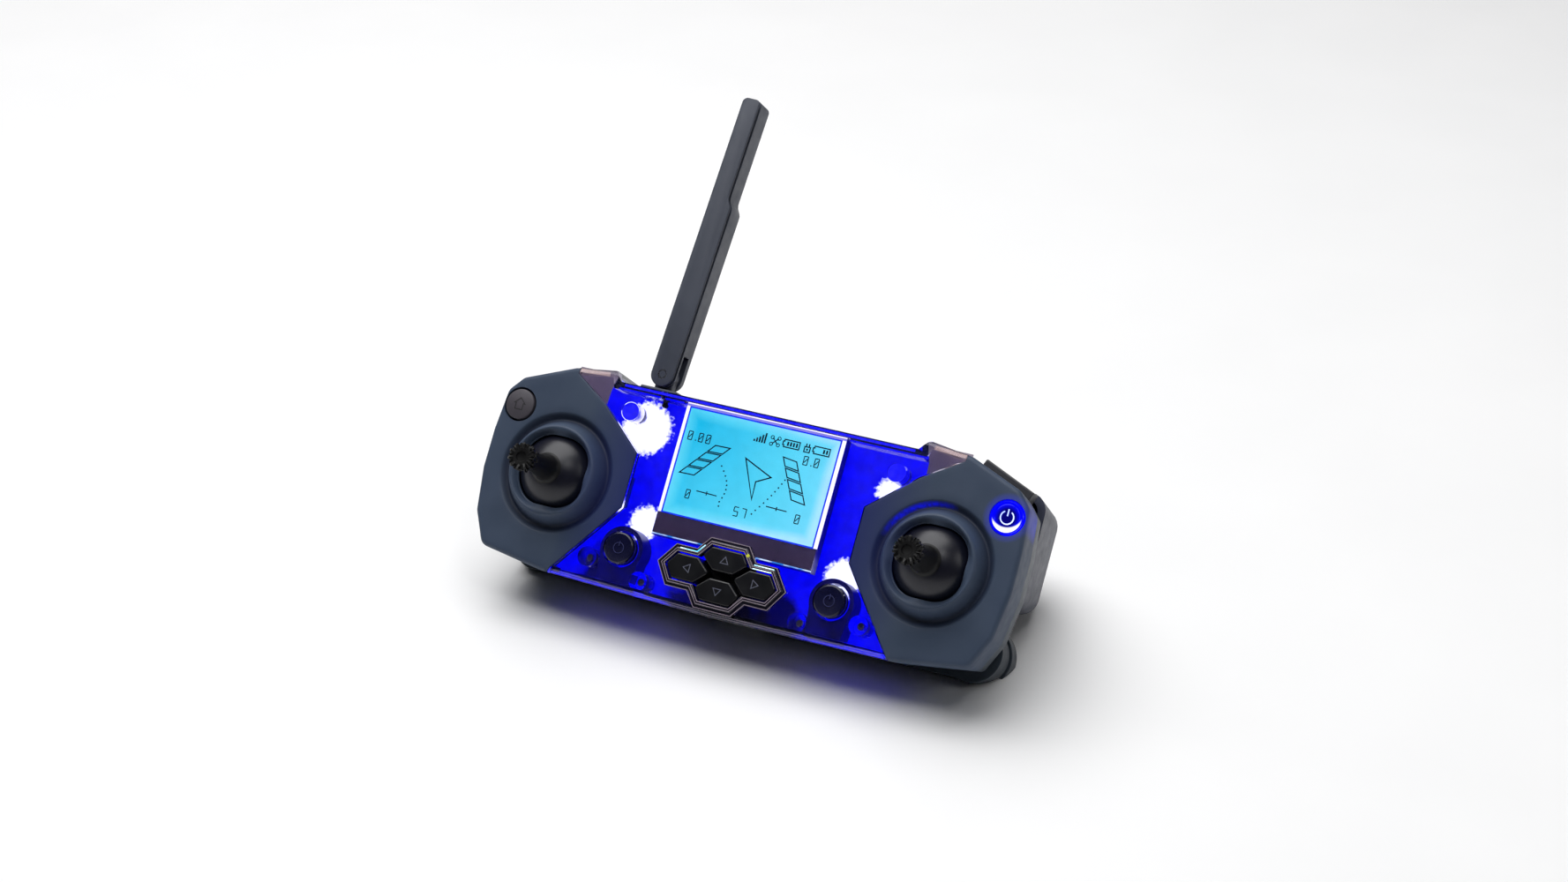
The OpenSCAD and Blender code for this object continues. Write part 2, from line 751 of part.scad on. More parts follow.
module hinge_cap(side) {
    on_side(side) difference() {
        intersection() {
            slab(-clamp_back_z - 0.4 - cap_t, -clamp_back_z - 0.4)
                translate([clamp_x, clamp_y]) circle(r = clamp_end_r + 0.6);
            above_floor(0);
        }
        translate([clamp_x, clamp_y, -clamp_back_z - clamp_seat]) cylinder(r = clamp_pin_r, h = 40);
    }
}

module left_hinge_cap() stand() color("#2c333c") hinge_cap(-1);
module right_hinge_cap() stand() color("#2c333c") hinge_cap(1);

module clamp_pins() stand() color("#8f9298") for (side = [-1, 1])
    translate([side * clamp_x, clamp_y, -clamp_back_z - clamp_seat])
        cylinder(r = clamp_pin_r, h = clamp_back_z + clamp_seat - rear_z + pin_seat);

module screw(spot, head_z, tip_z, head_r) {
    translate([spot[0], spot[1], 0]) difference() {
        union() {
            translate([0, 0, head_z]) cylinder(r = head_r, h = 1.3);
            translate([0, 0, head_z + 1]) cylinder(r = screw_r, h = tip_z - head_z - 1);
        }
        for (turn = [0, 90]) rotate([0, 0, turn]) block([-head_r * 0.6, -0.25, head_z - 1], [head_r * 0.6, 0.25, head_z + 0.6]);
    }
}

module front_screws() stand() color("#a6a9ae") for (side = [-1, 1]) for (spot = boss_spots)
    screw([side * spot[0], spot[1]], -board_z - board_t - 1.3, -board_z + 4.6, 1.4);

module rear_screws() stand() color("#77797e") for (side = [-1, 1])
    screw([side * upper_boss[0], upper_boss[1]], -back_z + 8.7, -seam_z + 4.5, 2.1);

front_cover();
left_grip_cover();
right_grip_cover();
rear_shell();
left_handle();
right_handle();
handle_feet();
battery_door();
battery_tray();
battery_cells();
battery_contacts();
main_board();
glow_leds();
board_chips();
buzzer();
usb_socket();
key_switches();
button_boards();
lcd_glass();
lcd_backlight();
lcd_ledge();
lcd_ribbon();
keypad_frame();
left_gimbal_frame();
right_gimbal_frame();
gimbal_pots();
antenna_bracket();
antenna_pin();
antenna_coax();
left_hinge_cap();
right_hinge_cap();
clamp_pins();
front_screws();
rear_screws();
left_gimbal_yoke();
right_gimbal_yoke();
left_stick_ball();
right_stick_ball();
left_stick_stem();
right_stick_stem();
left_stick_tip();
right_stick_tip();
antenna_front();
antenna_back();
antenna_whip();
left_clamp_arm();
right_clamp_arm();
left_clamp_pad();
right_clamp_pad();
home_button();
power_button();
key_up();
key_down();
key_left();
key_right();
left_round_button();
right_round_button();
left_shoulder_button();
right_shoulder_button();
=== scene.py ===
import json
import math

import bmesh
import bpy
from mathutils import Matrix, Vector


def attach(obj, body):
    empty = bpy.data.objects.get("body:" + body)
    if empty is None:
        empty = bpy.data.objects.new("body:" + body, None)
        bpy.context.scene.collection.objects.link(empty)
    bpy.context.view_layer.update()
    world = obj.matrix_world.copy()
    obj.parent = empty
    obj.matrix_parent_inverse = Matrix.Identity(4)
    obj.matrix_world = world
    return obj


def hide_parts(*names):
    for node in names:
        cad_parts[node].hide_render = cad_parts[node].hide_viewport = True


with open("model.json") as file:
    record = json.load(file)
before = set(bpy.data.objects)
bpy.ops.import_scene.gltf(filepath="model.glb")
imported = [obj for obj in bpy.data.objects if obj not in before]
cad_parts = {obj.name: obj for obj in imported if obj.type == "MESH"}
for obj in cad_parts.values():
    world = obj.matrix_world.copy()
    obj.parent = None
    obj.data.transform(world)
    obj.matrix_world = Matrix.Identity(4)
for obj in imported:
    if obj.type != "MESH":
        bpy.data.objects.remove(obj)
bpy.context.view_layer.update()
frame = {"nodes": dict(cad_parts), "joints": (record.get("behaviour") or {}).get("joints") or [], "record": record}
NODES = frame["nodes"]
JOINTS = {j["name"]: j for j in frame["joints"]}
NODE_BODY = {n: b for b, members in frame["record"]["behaviour"]["bodies"].items() for n in members}
NODE_SLOT = {p["node"]: p["material_slot"] for p in frame["record"]["subparts"]}

# ---------------------------------------------------------------- the face's own frame, in millimetres
BALL_DEPTH = 4.8
UP = Vector(JOINTS["left_stick_left_right"]["axis"]).normalized()
OUT = -Vector(JOINTS["antenna_fold"]["axis"]).normalized()
RIGHT = UP.cross(OUT)
LEFT_PIVOT = Vector(JOINTS["left_stick_up_down"]["pos_m"])
RIGHT_PIVOT = Vector(JOINTS["right_stick_up_down"]["pos_m"])
ORIGIN = (LEFT_PIVOT + RIGHT_PIVOT) / 2 + OUT * BALL_DEPTH / 1000
TURN = Matrix((RIGHT, UP, OUT)).transposed()
FACE = Matrix.Translation(ORIGIN) @ TURN.to_4x4() @ Matrix.Scale(0.001, 4)
TO_FACE = FACE.inverted()
STICK_X = (RIGHT_PIVOT - LEFT_PIVOT).length * 500


def face_box(node):
    """The lowest and highest corner of a CAD node along the face's own axes."""
    points = [TO_FACE @ v.co for v in NODES[node].data.vertices]
    low = Vector([min(p[i] for p in points) for i in range(3)])
    high = Vector([max(p[i] for p in points) for i in range(3)])
    return low, high


# ---------------------------------------------------------------- camera and light
# the camera's place and its right and up ways, in the face's frame
EYE = (254.02, -54.24, 623.79)
EYE_RIGHT = (0.907, 0.266, -0.327)
EYE_UP = (-0.208, 0.957, 0.200)
LENS, SENSOR = 58.78, 36
TENT_WAY = (-0.1, 0.75, 0.65)
TENT_EDGES = (-0.35, 0.85)
TENT_DIM, TENT_BRIGHT, TENT_SEEN = 0.23, 1.3, 1.0
LAMP_AIM = Vector((0, 0, 0.05))

scene = bpy.context.scene
view_right, view_up = TURN @ Vector(EYE_RIGHT), TURN @ Vector(EYE_UP)
view_turn = Matrix((view_right, view_up, view_right.cross(view_up))).transposed()
camera = bpy.data.objects.new("camera", bpy.data.cameras.new("camera"))
camera.data.lens = LENS
camera.data.sensor_width = SENSOR
camera.data.clip_start = 0.01
camera.matrix_world = Matrix.Translation(FACE @ Vector(EYE)) @ view_turn.to_4x4()
scene.collection.objects.link(camera)
scene.camera = camera
scene.view_settings.view_transform = "Standard"

world = bpy.data.worlds.new("studio")
world.use_nodes = True
scene.world = world


def light_tent(tree):
    """Makes the world's own dark grey dim in front, brighter above and behind, and even where it is seen."""
    add, join = tree.nodes.new, tree.links.new
    facing = add("ShaderNodeVectorMath")
    facing.operation = "DOT_PRODUCT"
    facing.inputs[1].default_value = Vector(TENT_WAY).normalized()
    join(add("ShaderNodeTexCoord").outputs["Generated"], facing.inputs[0])
    soft = add("ShaderNodeMapRange")
    soft.interpolation_type = "SMOOTHSTEP"
    join(facing.outputs["Value"], soft.inputs["Value"])
    for key, number in zip(("From Min", "From Max", "To Min", "To Max"),
                           TENT_EDGES + (TENT_DIM, TENT_BRIGHT)):
        soft.inputs[key].default_value = number
    seen = add("ShaderNodeLightPath")
    shown = add("ShaderNodeMix")
    join(seen.outputs["Is Camera Ray"], shown.inputs[0])
    join(soft.outputs[0], shown.inputs[2])
    shown.inputs[3].default_value = TENT_SEEN
    join(shown.outputs[0], tree.nodes["Background"].inputs["Strength"])


light_tent(world.node_tree)


def softbox(name, place, size, power):
    """A square lamp that looks at the middle of the object; metres and watts."""
    lamp = bpy.data.lights.new(name, "AREA")
    lamp.shape = "SQUARE"
    lamp.size = size
    lamp.energy = power
    box = bpy.data.objects.new(name, lamp)
    box.location = place
    box.rotation_euler = (LAMP_AIM - Vector(place)).to_track_quat("-Z", "Y").to_euler()
    scene.collection.objects.link(box)


softbox("top_light", (-0.3, 0.15, 1.1), 1.3, 18)
softbox("side_light", (0.95, 0.1, 0.55), 0.4, 0.9)
softbox("stick_light", (0.32, -0.25, 0.75), 0.16, 0.6)


# ---------------------------------------------------------------- materials
def rgb(code):
    """A hex colour as linear red, green, blue, alpha."""
    parts = [int(code[i:i + 2], 16) / 255 for i in (1, 3, 5)]
    return [p / 12.92 if p <= 0.04045 else ((p + 0.055) / 1.055) ** 2.4 for p in parts] + [1]


def wired(value):
    """Whether a value is a node's output and not a plain number or colour."""
    return hasattr(value, "is_linked")


class Paint:
    """A material whose patterns are laid out on the face's own axes, in millimetres."""

    def __init__(self, name):
        self.mat = bpy.data.materials.new(name)
        self.mat.use_nodes = True
        self.tree = self.mat.node_tree
        self.tree.nodes.clear()
        self.out = self.add("OutputMaterial")
        self.bsdf = self.add("BsdfPrincipled")
        self.join(self.bsdf.outputs[0], self.out.inputs["Surface"])
        self.face = self.add("Mapping")
        self.face.vector_type = "TEXTURE"
        self.face.inputs["Location"].default_value = ORIGIN
        self.face.inputs["Rotation"].default_value = TURN.to_euler()
        self.face.inputs["Scale"].default_value = (0.001, 0.001, 0.001)
        self.join(self.add("TexCoord").outputs["Object"], self.face.inputs["Vector"])

    def add(self, kind):
        return self.tree.nodes.new("ShaderNode" + kind)

    def join(self, a, b):
        self.tree.links.new(a, b)

    def put(self, value, socket):
        """Joins an output to a socket, or sets a plain value on it."""
        if wired(value):
            self.join(value, socket)
        else:
            socket.default_value = value

    def set(self, **values):
        for key, value in values.items():
            self.put(value, self.bsdf.inputs[key.replace("_", " ")])

    def noise(self, scale, detail=3):
        node = self.add("TexNoise")
        node.inputs["Scale"].default_value = scale
        node.inputs["Detail"].default_value = detail
        self.join(self.face.outputs[0], node.inputs["Vector"])
        return node.outputs["Fac"]

    def calc(self, operation, *values):
        node = self.add("Math")
        node.operation = operation
        for socket, value in zip(node.inputs, values):
            self.put(value, socket)
        return node.outputs[0]

    def plus(self, a, b):
        return self.calc("ADD", a, b)

    def times(self, a, b):
        return self.calc("MULTIPLY", a, b)

    def most(self, values):
        """The largest of some values."""
        top = values[0]
        for value in values[1:]:
            top = self.calc("MAXIMUM", top, value)
        return top

    def apart(self, a, b):
        """How far two numbers lie apart."""
        return self.calc("ABSOLUTE", self.calc("SUBTRACT", a, b))

    def close(self, gap, near, far):
        """1 up to the nearer gap, falling to 0 at the farther one."""
        return self.calc("SUBTRACT", 1.0, self.span(gap, 0.0, 1.0, near, far))

    def span(self, value, low, high, start=0.3, end=0.7):
        """A value's share between start and end, as a number from low to high."""
        node = self.add("MapRange")
        self.join(value, node.inputs["Value"])
        for key, number in (("From Min", start), ("From Max", end), ("To Min", low), ("To Max", high)):
            node.inputs[key].default_value = number
        return node.outputs[0]

    def ramp(self, value, stops):
        """Colours by a value, from stops of (value, colour)."""
        node = self.add("ValToRGB")
        self.join(value, node.inputs["Fac"])
        ramp = node.color_ramp
        ramp.elements[0].position, ramp.elements[0].color = stops[0]
        ramp.elements[1].position, ramp.elements[1].color = stops[-1]
        for place, colour in stops[1:-1]:
            ramp.elements.new(place).color = colour
        return node.outputs["Color"]

    def mottle(self, value, dark, light, start=0.3, end=0.7):
        """Two hex colours mixed by a value."""
        return self.ramp(value, [(start, rgb(dark)), (end, rgb(light))])

    def blend(self, share, a, b):
        """Colour a turning into colour b."""
        node = self.add("Mix")
        node.data_type = "RGBA"
        self.join(share, node.inputs["Factor"])
        self.put(a, node.inputs[6])
        self.put(b, node.inputs[7])
        return node.outputs[2]

    def axes(self):
        """Right, up and out on the face."""
        node = self.add("SeparateXYZ")
        self.join(self.face.outputs[0], node.inputs[0])
        return node.outputs[0], node.outputs[1], node.outputs[2]

    def bump(self, height, depth):
        """Depth in millimetres."""
        node = self.add("Bump")
        node.inputs["Distance"].default_value = depth / 1000
        self.join(height, node.inputs["Height"])
        self.join(node.outputs[0], self.bsdf.inputs["Normal"])

    def grain(self, dark, light, scale, depth):
        """Mottled colour with a fine grain that is also raised."""
        broad = self.noise(0.06, 3)
        fine = self.noise(scale, 2)
        self.bump(fine, depth)
        return self.mottle(self.plus(self.times(broad, 0.8), self.times(fine, 0.2)), dark, light)


def moulded(name, dark, light, rough=(0.4, 0.55), scale=4.0, depth=0.02, sockets=None):
    """Moulded plastic, rubber or metal: mottled colour, fine grain and uneven gloss."""
    paint = Paint(name)
    paint.set(Base_Color=paint.grain(dark, light, scale, depth),
              Roughness=paint.span(paint.noise(0.3, 4), *rough), **(sockets or {}))
    return paint.mat


def glowing(name, colour, light, strength):
    """A lit moulded surface, a little uneven."""
    paint = Paint(name)
    shade = paint.mottle(paint.noise(0.2), colour, light, 0.35, 0.65)
    paint.set(Base_Color=shade, Emission_Color=shade, Emission_Strength=strength, Roughness=0.4)
    return paint.mat


def clear(name, tint):
    """Clear plastic with a faint tint."""
    paint = Paint(name)
    pale = [min(1, c * 1.08) for c in rgb(tint)]
    paint.set(Base_Color=paint.ramp(paint.noise(0.25, 2), [(0.3, rgb(tint)), (0.7, pale)]),
              Roughness=paint.span(paint.noise(1.5), 0.03, 0.06), Transmission_Weight=1.0, IOR=1.45)
    return paint.mat


# (place on the face, radius) of the lamps that burn through and of the parts that stay dark
LED_SPOTS = (((-36, 18.2), 6.9), ((36.2, 16.6), 3.3), ((-28.8, -6.8), 4.4), ((30.0, -8.5), 4.9))
SHADED = (((-2, -25), 13.0), ((-38.5, -22), 4.0), ((9, -25), 15.0))
WIDE_SHADE = 10
RING_R, ARC_R = 15.0, 15.7
GLASS_LOW, GLASS_HIGH = face_box("lcd_glass")
LCD_MID = (GLASS_LOW.y + GLASS_HIGH.y) / 2
POWER_LOW, POWER_HIGH = face_box("power_button")
POWER_MID = (POWER_LOW + POWER_HIGH) / 2


def distance_to(paint, spot, squash=1.0):
    """Distance from a spot on the face, whatever the depth."""
    flat = paint.add("VectorMath")
    flat.operation = "MULTIPLY"
    flat.inputs[1].default_value = (1, squash, 0)
    paint.join(paint.face.outputs[0], flat.inputs[0])
    away = paint.add("VectorMath")
    away.operation = "DISTANCE"
    paint.join(flat.outputs[0], away.inputs[0])
    away.inputs[1].default_value = (spot[0], spot[1] * squash, 0)
    return away.outputs["Value"]


def colour_of(paint, red, green, blue):
    """A colour put together from numbers."""
    node = paint.add("CombineColor")
    for socket, value in zip(node.inputs, (red, green, blue)):
        paint.put(value, socket)
    return node.outputs[0]


def lit_blue(name, shade_level, deep, spots=LED_SPOTS):
    """Plastic flooded with blue light: white where a lamp burns through, dark where it doesn't reach."""
    paint = Paint(name)
    wander = paint.span(paint.noise(0.16, 4), -3.2, 3.2)
    level = paint.span(paint.noise(0.35, 3), 0.82, 1.1)
    for spot, radius in SHADED:
        away = paint.plus(distance_to(paint, spot, 1.7 if radius > WIDE_SHADE else 1.0), wander)
        level = paint.times(level, paint.span(away, shade_level, 1.0, radius - 2.2, radius + 2.2))
    red, green, blue = 0.0, 0.0, paint.times(level, 1.1)
    if spots:
        ragged = paint.span(paint.noise(0.9, 4), -0.9, 0.9)
        white = paint.most([paint.span(paint.plus(distance_to(paint, spot), ragged), 1.0, 0.0, radius - 0.5,
                                       radius + 0.7) for spot, radius in spots])
        red, green = paint.times(white, 1.6), paint.times(white, 1.7)
        blue = paint.plus(paint.times(white, 1.2), blue)
    paint.set(Base_Color=paint.mottle(paint.noise(0.4), deep, "#101040"),
              Emission_Color=colour_of(paint, red, green, blue), Emission_Strength=1.0, Roughness=0.5)
    return paint.mat


def grip_paint(name, dark, light):
    """Soft-touch grey, darker in the groove by painted shade, with painted blue light beside it, along an arc by
    the right stick and round the power button.
    """
    paint = Paint(name)
    x, y, _ = paint.axes()
    # painted blue light from the lit cover, tinting the base colour and glowing on the side towards the middle
    near = paint.span(paint.calc("ABSOLUTE", x), 0.8, 0.0, 34, 50)
    from_stick = [distance_to(paint, (side * STICK_X, 0)) for side in (-1, 1)]
    # painted shade in the groove round each stick
    groove = paint.most([paint.close(paint.apart(away, RING_R), 0.4, 1.9) for away in from_stick])
    grey = paint.blend(near, paint.grain(dark, light, 6.0, 0.012), rgb("#0a1c48"))
    corner_side = paint.times(paint.span(x, 1, 0, 50, 58), paint.span(y, 0, 1, 4, 10))
    speckled = paint.span(paint.noise(1.2, 4), 0.35, 1.2)
    # a painted blue glint along an arc round the right stick, towards its top, and a painted halo round the power
    # button
    on_arc = paint.close(paint.apart(from_stick[1], ARC_R), 0.15, 0.9)
    arc_light = paint.times(paint.times(on_arc, corner_side), speckled)
    halo = paint.span(distance_to(paint, POWER_MID), 0.5, 0.0, 4.2, 6.6)
    blue = paint.plus(paint.times(paint.plus(arc_light, halo), 0.55), paint.times(near, 0.035))
    paint.set(Base_Color=paint.blend(paint.times(groove, 0.72), grey, rgb("#0c142c")),
              Roughness=paint.span(paint.noise(0.3, 4), 0.5, 0.62), Specular_IOR_Level=0.35,
              Emission_Color=colour_of(paint, 0.0, 0.0, blue), Emission_Strength=1.0)
    return paint.mat


def guide(name, box_low, box_high, glass_top):
    """Lit frame round the display: white sides, a double line on top and a thin cyan line at its foot."""
    paint = Paint(name)
    _, y, z = paint.axes()
    up = paint.span(y, 0.0, 1.0, glass_top - 0.1, box_high.y)
    middle = paint.close(paint.apart(up, 0.5), 0.2, 0.34)
    foot = paint.span(y, 1.0, 0.0, box_low.y + 0.7, box_low.y + 0.75)
    uneven = paint.span(paint.noise(0.22, 3), 0.0, 1.0, 0.42, 0.58)
    line = paint.blend(uneven, (0.02, 0.3, 0.9, 1), (0.9, 1.2, 1.3, 1))
    foot_colour = paint.blend(paint.span(y, 0.0, 1.0, box_low.y + 0.22, box_low.y + 0.3),
                              (0, 0, 0.3, 1), line)
    colour = paint.blend(foot, paint.blend(middle, (1.6, 1.6, 1.7, 1), (0.35, 0.33, 0.95, 1)), foot_colour)
    front = paint.span(z, 0.0, 1.0, box_high.z - 0.5, box_high.z - 0.3)
    paint.set(Base_Color=paint.mottle(paint.noise(0.4), "#101030", "#181840"),
              Emission_Color=paint.blend(front, (0.0, 0.0, 0.12, 1), colour),
              Emission_Strength=1.0, Roughness=0.3)
    return paint.mat


def display(name):
    """Lit display: even cyan, paler towards its edges and deeper at its lower left."""
    paint = Paint(name)
    x, y, _ = paint.axes()
    edge = paint.most([paint.span(paint.calc("ABSOLUTE", x), 0, 1, 18.5, 21.6),
                       paint.span(paint.apart(y, LCD_MID), 0, 1, 11.2, 14.2)])
    diagonal = paint.plus(paint.times(x, 0.014), paint.times(y, -0.006))
    base = paint.plus(paint.plus(diagonal, 0.44), paint.span(paint.noise(0.05, 1), -0.05, 0.05))
    shade = paint.ramp(paint.plus(base, paint.times(edge, 0.42)), [
        (0.05, rgb("#1cc0da")), (0.45, rgb("#56dae6")), (0.7, rgb("#70e0ec")), (1.0, rgb("#a8ecf4"))])
    paint.set(Emission_Color=shade, Emission_Strength=1.4, Base_Color=rgb("#0a3a4a"), Roughness=0.2)
    return paint.mat


def lens(name, mid):
    """Lit lens: blue, deeper in its middle, burnt out towards its lower side."""
    paint = Paint(name)
    away = distance_to(paint, mid)
    low = distance_to(paint, (mid.x - 0.3, mid.y + 2.1))
    crescent = paint.times(paint.span(low, 0, 1, 4.5, 5.2), paint.span(away, 1, 0, 3.7, 4.0))
    burnt = paint.times(crescent, 2.0)
    glow = colour_of(paint, burnt, burnt, paint.plus(paint.span(away, 0.16, 1.1, 2.1, 3.6), crescent))
    paint.set(Base_Color=paint.mottle(paint.noise(0.8), "#00001c", "#00002c"), Emission_Color=glow,
              Emission_Strength=1.0, Roughness=0.2)
    return paint.mat


# dark and light colour, then where they differ from plain plastic: gloss from and to, size of the grain, its
# depth in millimetres, and other sockets
MOULDED = {
    "key_mark": ("#5a5d6c", "#6c6f80", (0.3, 0.4)),
    "mark_dark": ("#1c1c20", "#242428", (0.5, 0.6)),
    "lcd_ink": ("#033444", "#054458", (0.4, 0.5)),
    "smoke_plastic": ("#14131f", "#211f30", (0.12, 0.2), 3.0, 0.0, {"Coat_Weight": 0.4}),
    # painted highlight lines on the frame's steps and along the foot of the cover
    "edge_highlight": ("#8a7c8c", "#a89aa6", (0.25, 0.35)),
    "shoulder_grey": ("#222329", "#2c2d34", (0.4, 0.5)),
    "shoulder_liner": ("#9b93a8", "#b5a8b4", (0.2, 0.3)),
    "button_navy": ("#0a0c26", "#10123a", (0.22, 0.3)),
    "mark_faint": ("#2c2f5a", "#3a3e6c", (0.3, 0.4)),
    "shell_grey": ("#2e3945", "#384450", (0.42, 0.55), 5.0, 0.03),
    "handle_grey": ("#2a2f42", "#363c50", (0.4, 0.52), 5.0, 0.03),
    "clamp_grey": ("#2a333d", "#353f4a", (0.4, 0.5), 5.0, 0.03),
    "antenna_grey": ("#3a3f4c", "#474c59", (0.42, 0.55), 7.0, 0.02),
    "black_plastic": ("#17171a", "#232327", (0.4, 0.55)),
    "black_rubber": ("#121214", "#1b1b1d", (0.7, 0.85), 8.0, 0.05),
    "button_grey": ("#3f3c44", "#4c4850", (0.45, 0.6)),
    "dark_key": ("#090a0e", "#111218", (0.28, 0.38)),
    "ball_black": ("#0a0b18", "#0f1020", (0.32, 0.38), 3.0, 0.0),
    "stick_black": ("#020203", "#060608", (0.4, 0.55), 4.0, 0.01, {"Specular_IOR_Level": 0.3}),
    "dark_glass": ("#6b5f7a", "#80728a", (0.15, 0.22), 0.5, 0.0),
    "copper_film": ("#a8641e", "#c9802c", (0.3, 0.4)),
    "green_board": ("#124a2c", "#1c6a40", (0.3, 0.4)),
    "cell_wrap": ("#245c3c", "#2f7a50", (0.25, 0.35)),
    "plated_steel": ("#a5a8ad", "#c4c6ca", (0.22, 0.38), 6.0, 0.01, {"Metallic": 1.0}),
    "brass": ("#a8803c", "#c79c50", (0.2, 0.35), 6.0, 0.01, {"Metallic": 1.0}),
    "pot_blue": ("#1c3e80", "#2850a0", (0.3, 0.4)),
}
# two colours and the strength of the light
GLOWING = {
    "power_sign": ("#8fa4ff", "#c8d4ff", 1.3),
    # glowing gasket round the display: painted blue light
    "blue_line": ("#0a2ce8", "#1a48ff", 0.8),
    "edge_lit": ("#3fd0ff", "#e8fbff", 1.0),
    "status_light": ("#98b020", "#c8c83c", 0.4),
    # painted pinkish highlight along the top edge of each shoulder
    "pale_highlight": ("#c8aca4", "#dcc4ba", 0.35),
    # dim navy glow of the towers: painted shade in the blue light round the round buttons
    "tower_navy": ("#020238", "#04045a", 1.0),
    "blue_led": ("#1420ff", "#2c3cff", 1.3),
}
MATS = {
    "clear_plastic": clear("clear_plastic", "#dcd8ee"),
    "edge_band": lit_blue("edge_band", 0.06, "#3a3448", ()),
    "soft_grey": grip_paint("soft_grey", "#354359", "#424f64"),
    "power_lens": lens("power_lens", POWER_MID),
    "white_board": lit_blue("white_board", 0.08, "#1a1230"),
    "lcd_face": display("lcd_face"),
    "light_guide": guide("light_guide", *face_box("lcd_backlight"), GLASS_HIGH.y),
}
MATS.update((name, moulded(name, *look)) for name, look in MOULDED.items())
MATS.update((name, glowing(name, *look)) for name, look in GLOWING.items())


def paint_nodes():
    """Gives every CAD node the material of its own slot."""
    for name, node in NODES.items():
        node.data.materials.clear()
        node.data.materials.append(MATS[NODE_SLOT[name]])


# ---------------------------------------------------------------- making pieces
def piece(name, bm, node, slot=None, smooth=35, replace=True):
    """Puts a shape in the scene as a piece that stands for a CAD node, or rides beside it."""
    mesh = bpy.data.meshes.new(name)
    bm.to_mesh(mesh)
    bm.free()
    mesh.transform(FACE)
    made = bpy.data.objects.new(name, mesh)
    scene.collection.objects.link(made)
    slot = slot or NODE_SLOT[node]
    mesh.materials.append(MATS[slot])
    mesh.shade_smooth()
    mesh.set_sharp_from_angle(angle=math.radians(smooth))
    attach(made, NODE_BODY[node])
    if replace:
        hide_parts(node)
    return made


def trim(name, bm, node, slot):
    """A piece that exists only in the look and rides beside a CAD node."""
    return piece(name, bm, node, slot, replace=False)


def refined(node, width, segments=2, angle=30, slot=None):
    """A CAD node with its sharp edges rounded off."""
    bm = bmesh.new()
    bm.from_mesh(NODES[node].data)
    bmesh.ops.transform(bm, matrix=TO_FACE, verts=bm.verts)
    bmesh.ops.remove_doubles(bm, verts=bm.verts, dist=0.004)
    bmesh.ops.dissolve_limit(bm, angle_limit=math.radians(0.4), verts=bm.verts, edges=bm.edges)
    made = piece(node + "_shape", bm, node, slot)
    bevel = made.modifiers.new("soft_edges", "BEVEL")
    bevel.width = width / 1000
    bevel.segments = segments
    bevel.limit_method = "ANGLE"
    bevel.angle_limit = math.radians(angle)
    bevel.use_clamp_overlap = True
    normals = made.modifiers.new("even_shading", "WEIGHTED_NORMAL")
    normals.keep_sharp = True


def skin(bm, loops, closed=True):
    """Faces between one ring of vertices and the next."""
    count = len(loops[0])
    last = count if closed else count - 1
    for a, b in zip(loops, loops[1:]):
        for i in range(last):
            j = (i + 1) % count
            corners = [a[i], a[j], b[j], b[i]]
            if len(set(corners)) == 4:
                bm.faces.new(corners)


def lathe(profile, centre=(0, 0, 0), steps=96, caps=True):
    """A profile of (radius, height) turned about the face's normal."""
    bm = bmesh.new()
    loops = []
    for radius, height in profile:
        loops.append([bm.verts.new((centre[0] + radius * math.cos(math.tau * i / steps),
                                    centre[1] + radius * math.sin(math.tau * i / steps),
                                    centre[2] + height)) for i in range(steps)])
    skin(bm, loops)
    if caps:
        for loop in (loops[0], loops[-1]):
            bm.faces.new(loop)
    bmesh.ops.recalc_face_normals(bm, faces=bm.faces)
    return bm


def arc(centre, radius, start, end, steps):
    """Points on an arc, angles in degrees."""
    return [(centre[0] + radius * math.cos(math.radians(start + (end - start) * i / steps)),
             centre[1] + radius * math.sin(math.radians(start + (end - start) * i / steps)))
            for i in range(steps + 1)]


def join(target, *others):
    """Adds other bmeshes to the first."""
    for other in others:
        mesh = bpy.data.meshes.new("part")
        other.to_mesh(mesh)
        other.free()
        target.from_mesh(mesh)
        bpy.data.meshes.remove(mesh)
    return target


def prism(points, low, high):
    """An upright solid on a closed outline."""
    bm = bmesh.new()
    base = [bm.verts.new((x, y, low)) for x, y in points]
    top = [bm.verts.new((x, y, high)) for x, y in points]
    skin(bm, [base, top])
    bm.faces.new(base)
    bm.faces.new(top)
    bmesh.ops.recalc_face_normals(bm, faces=bm.faces)
    return bm


def round_top(bm, height, width, segments=3):
    """Rounds the edges that lie at a height."""
    rim = [e for e in bm.edges if all(abs(v.co.z - height) < 1e-5 for v in e.verts)]
    bmesh.ops.bevel(bm, geom=rim, offset=width, offset_type="OFFSET", segments=segments, profile=0.5,
                    affect="EDGES")
    return bm


def bar(a, b, width, low, high):
    """A straight thin strip between two points."""
    a, b = Vector(a), Vector(b)
    side = (b - a).normalized().orthogonal() * width / 2
    ends = [a + side, b + side, b - side, a - side]
    return prism([(p.x, p.y) for p in ends], low, high)


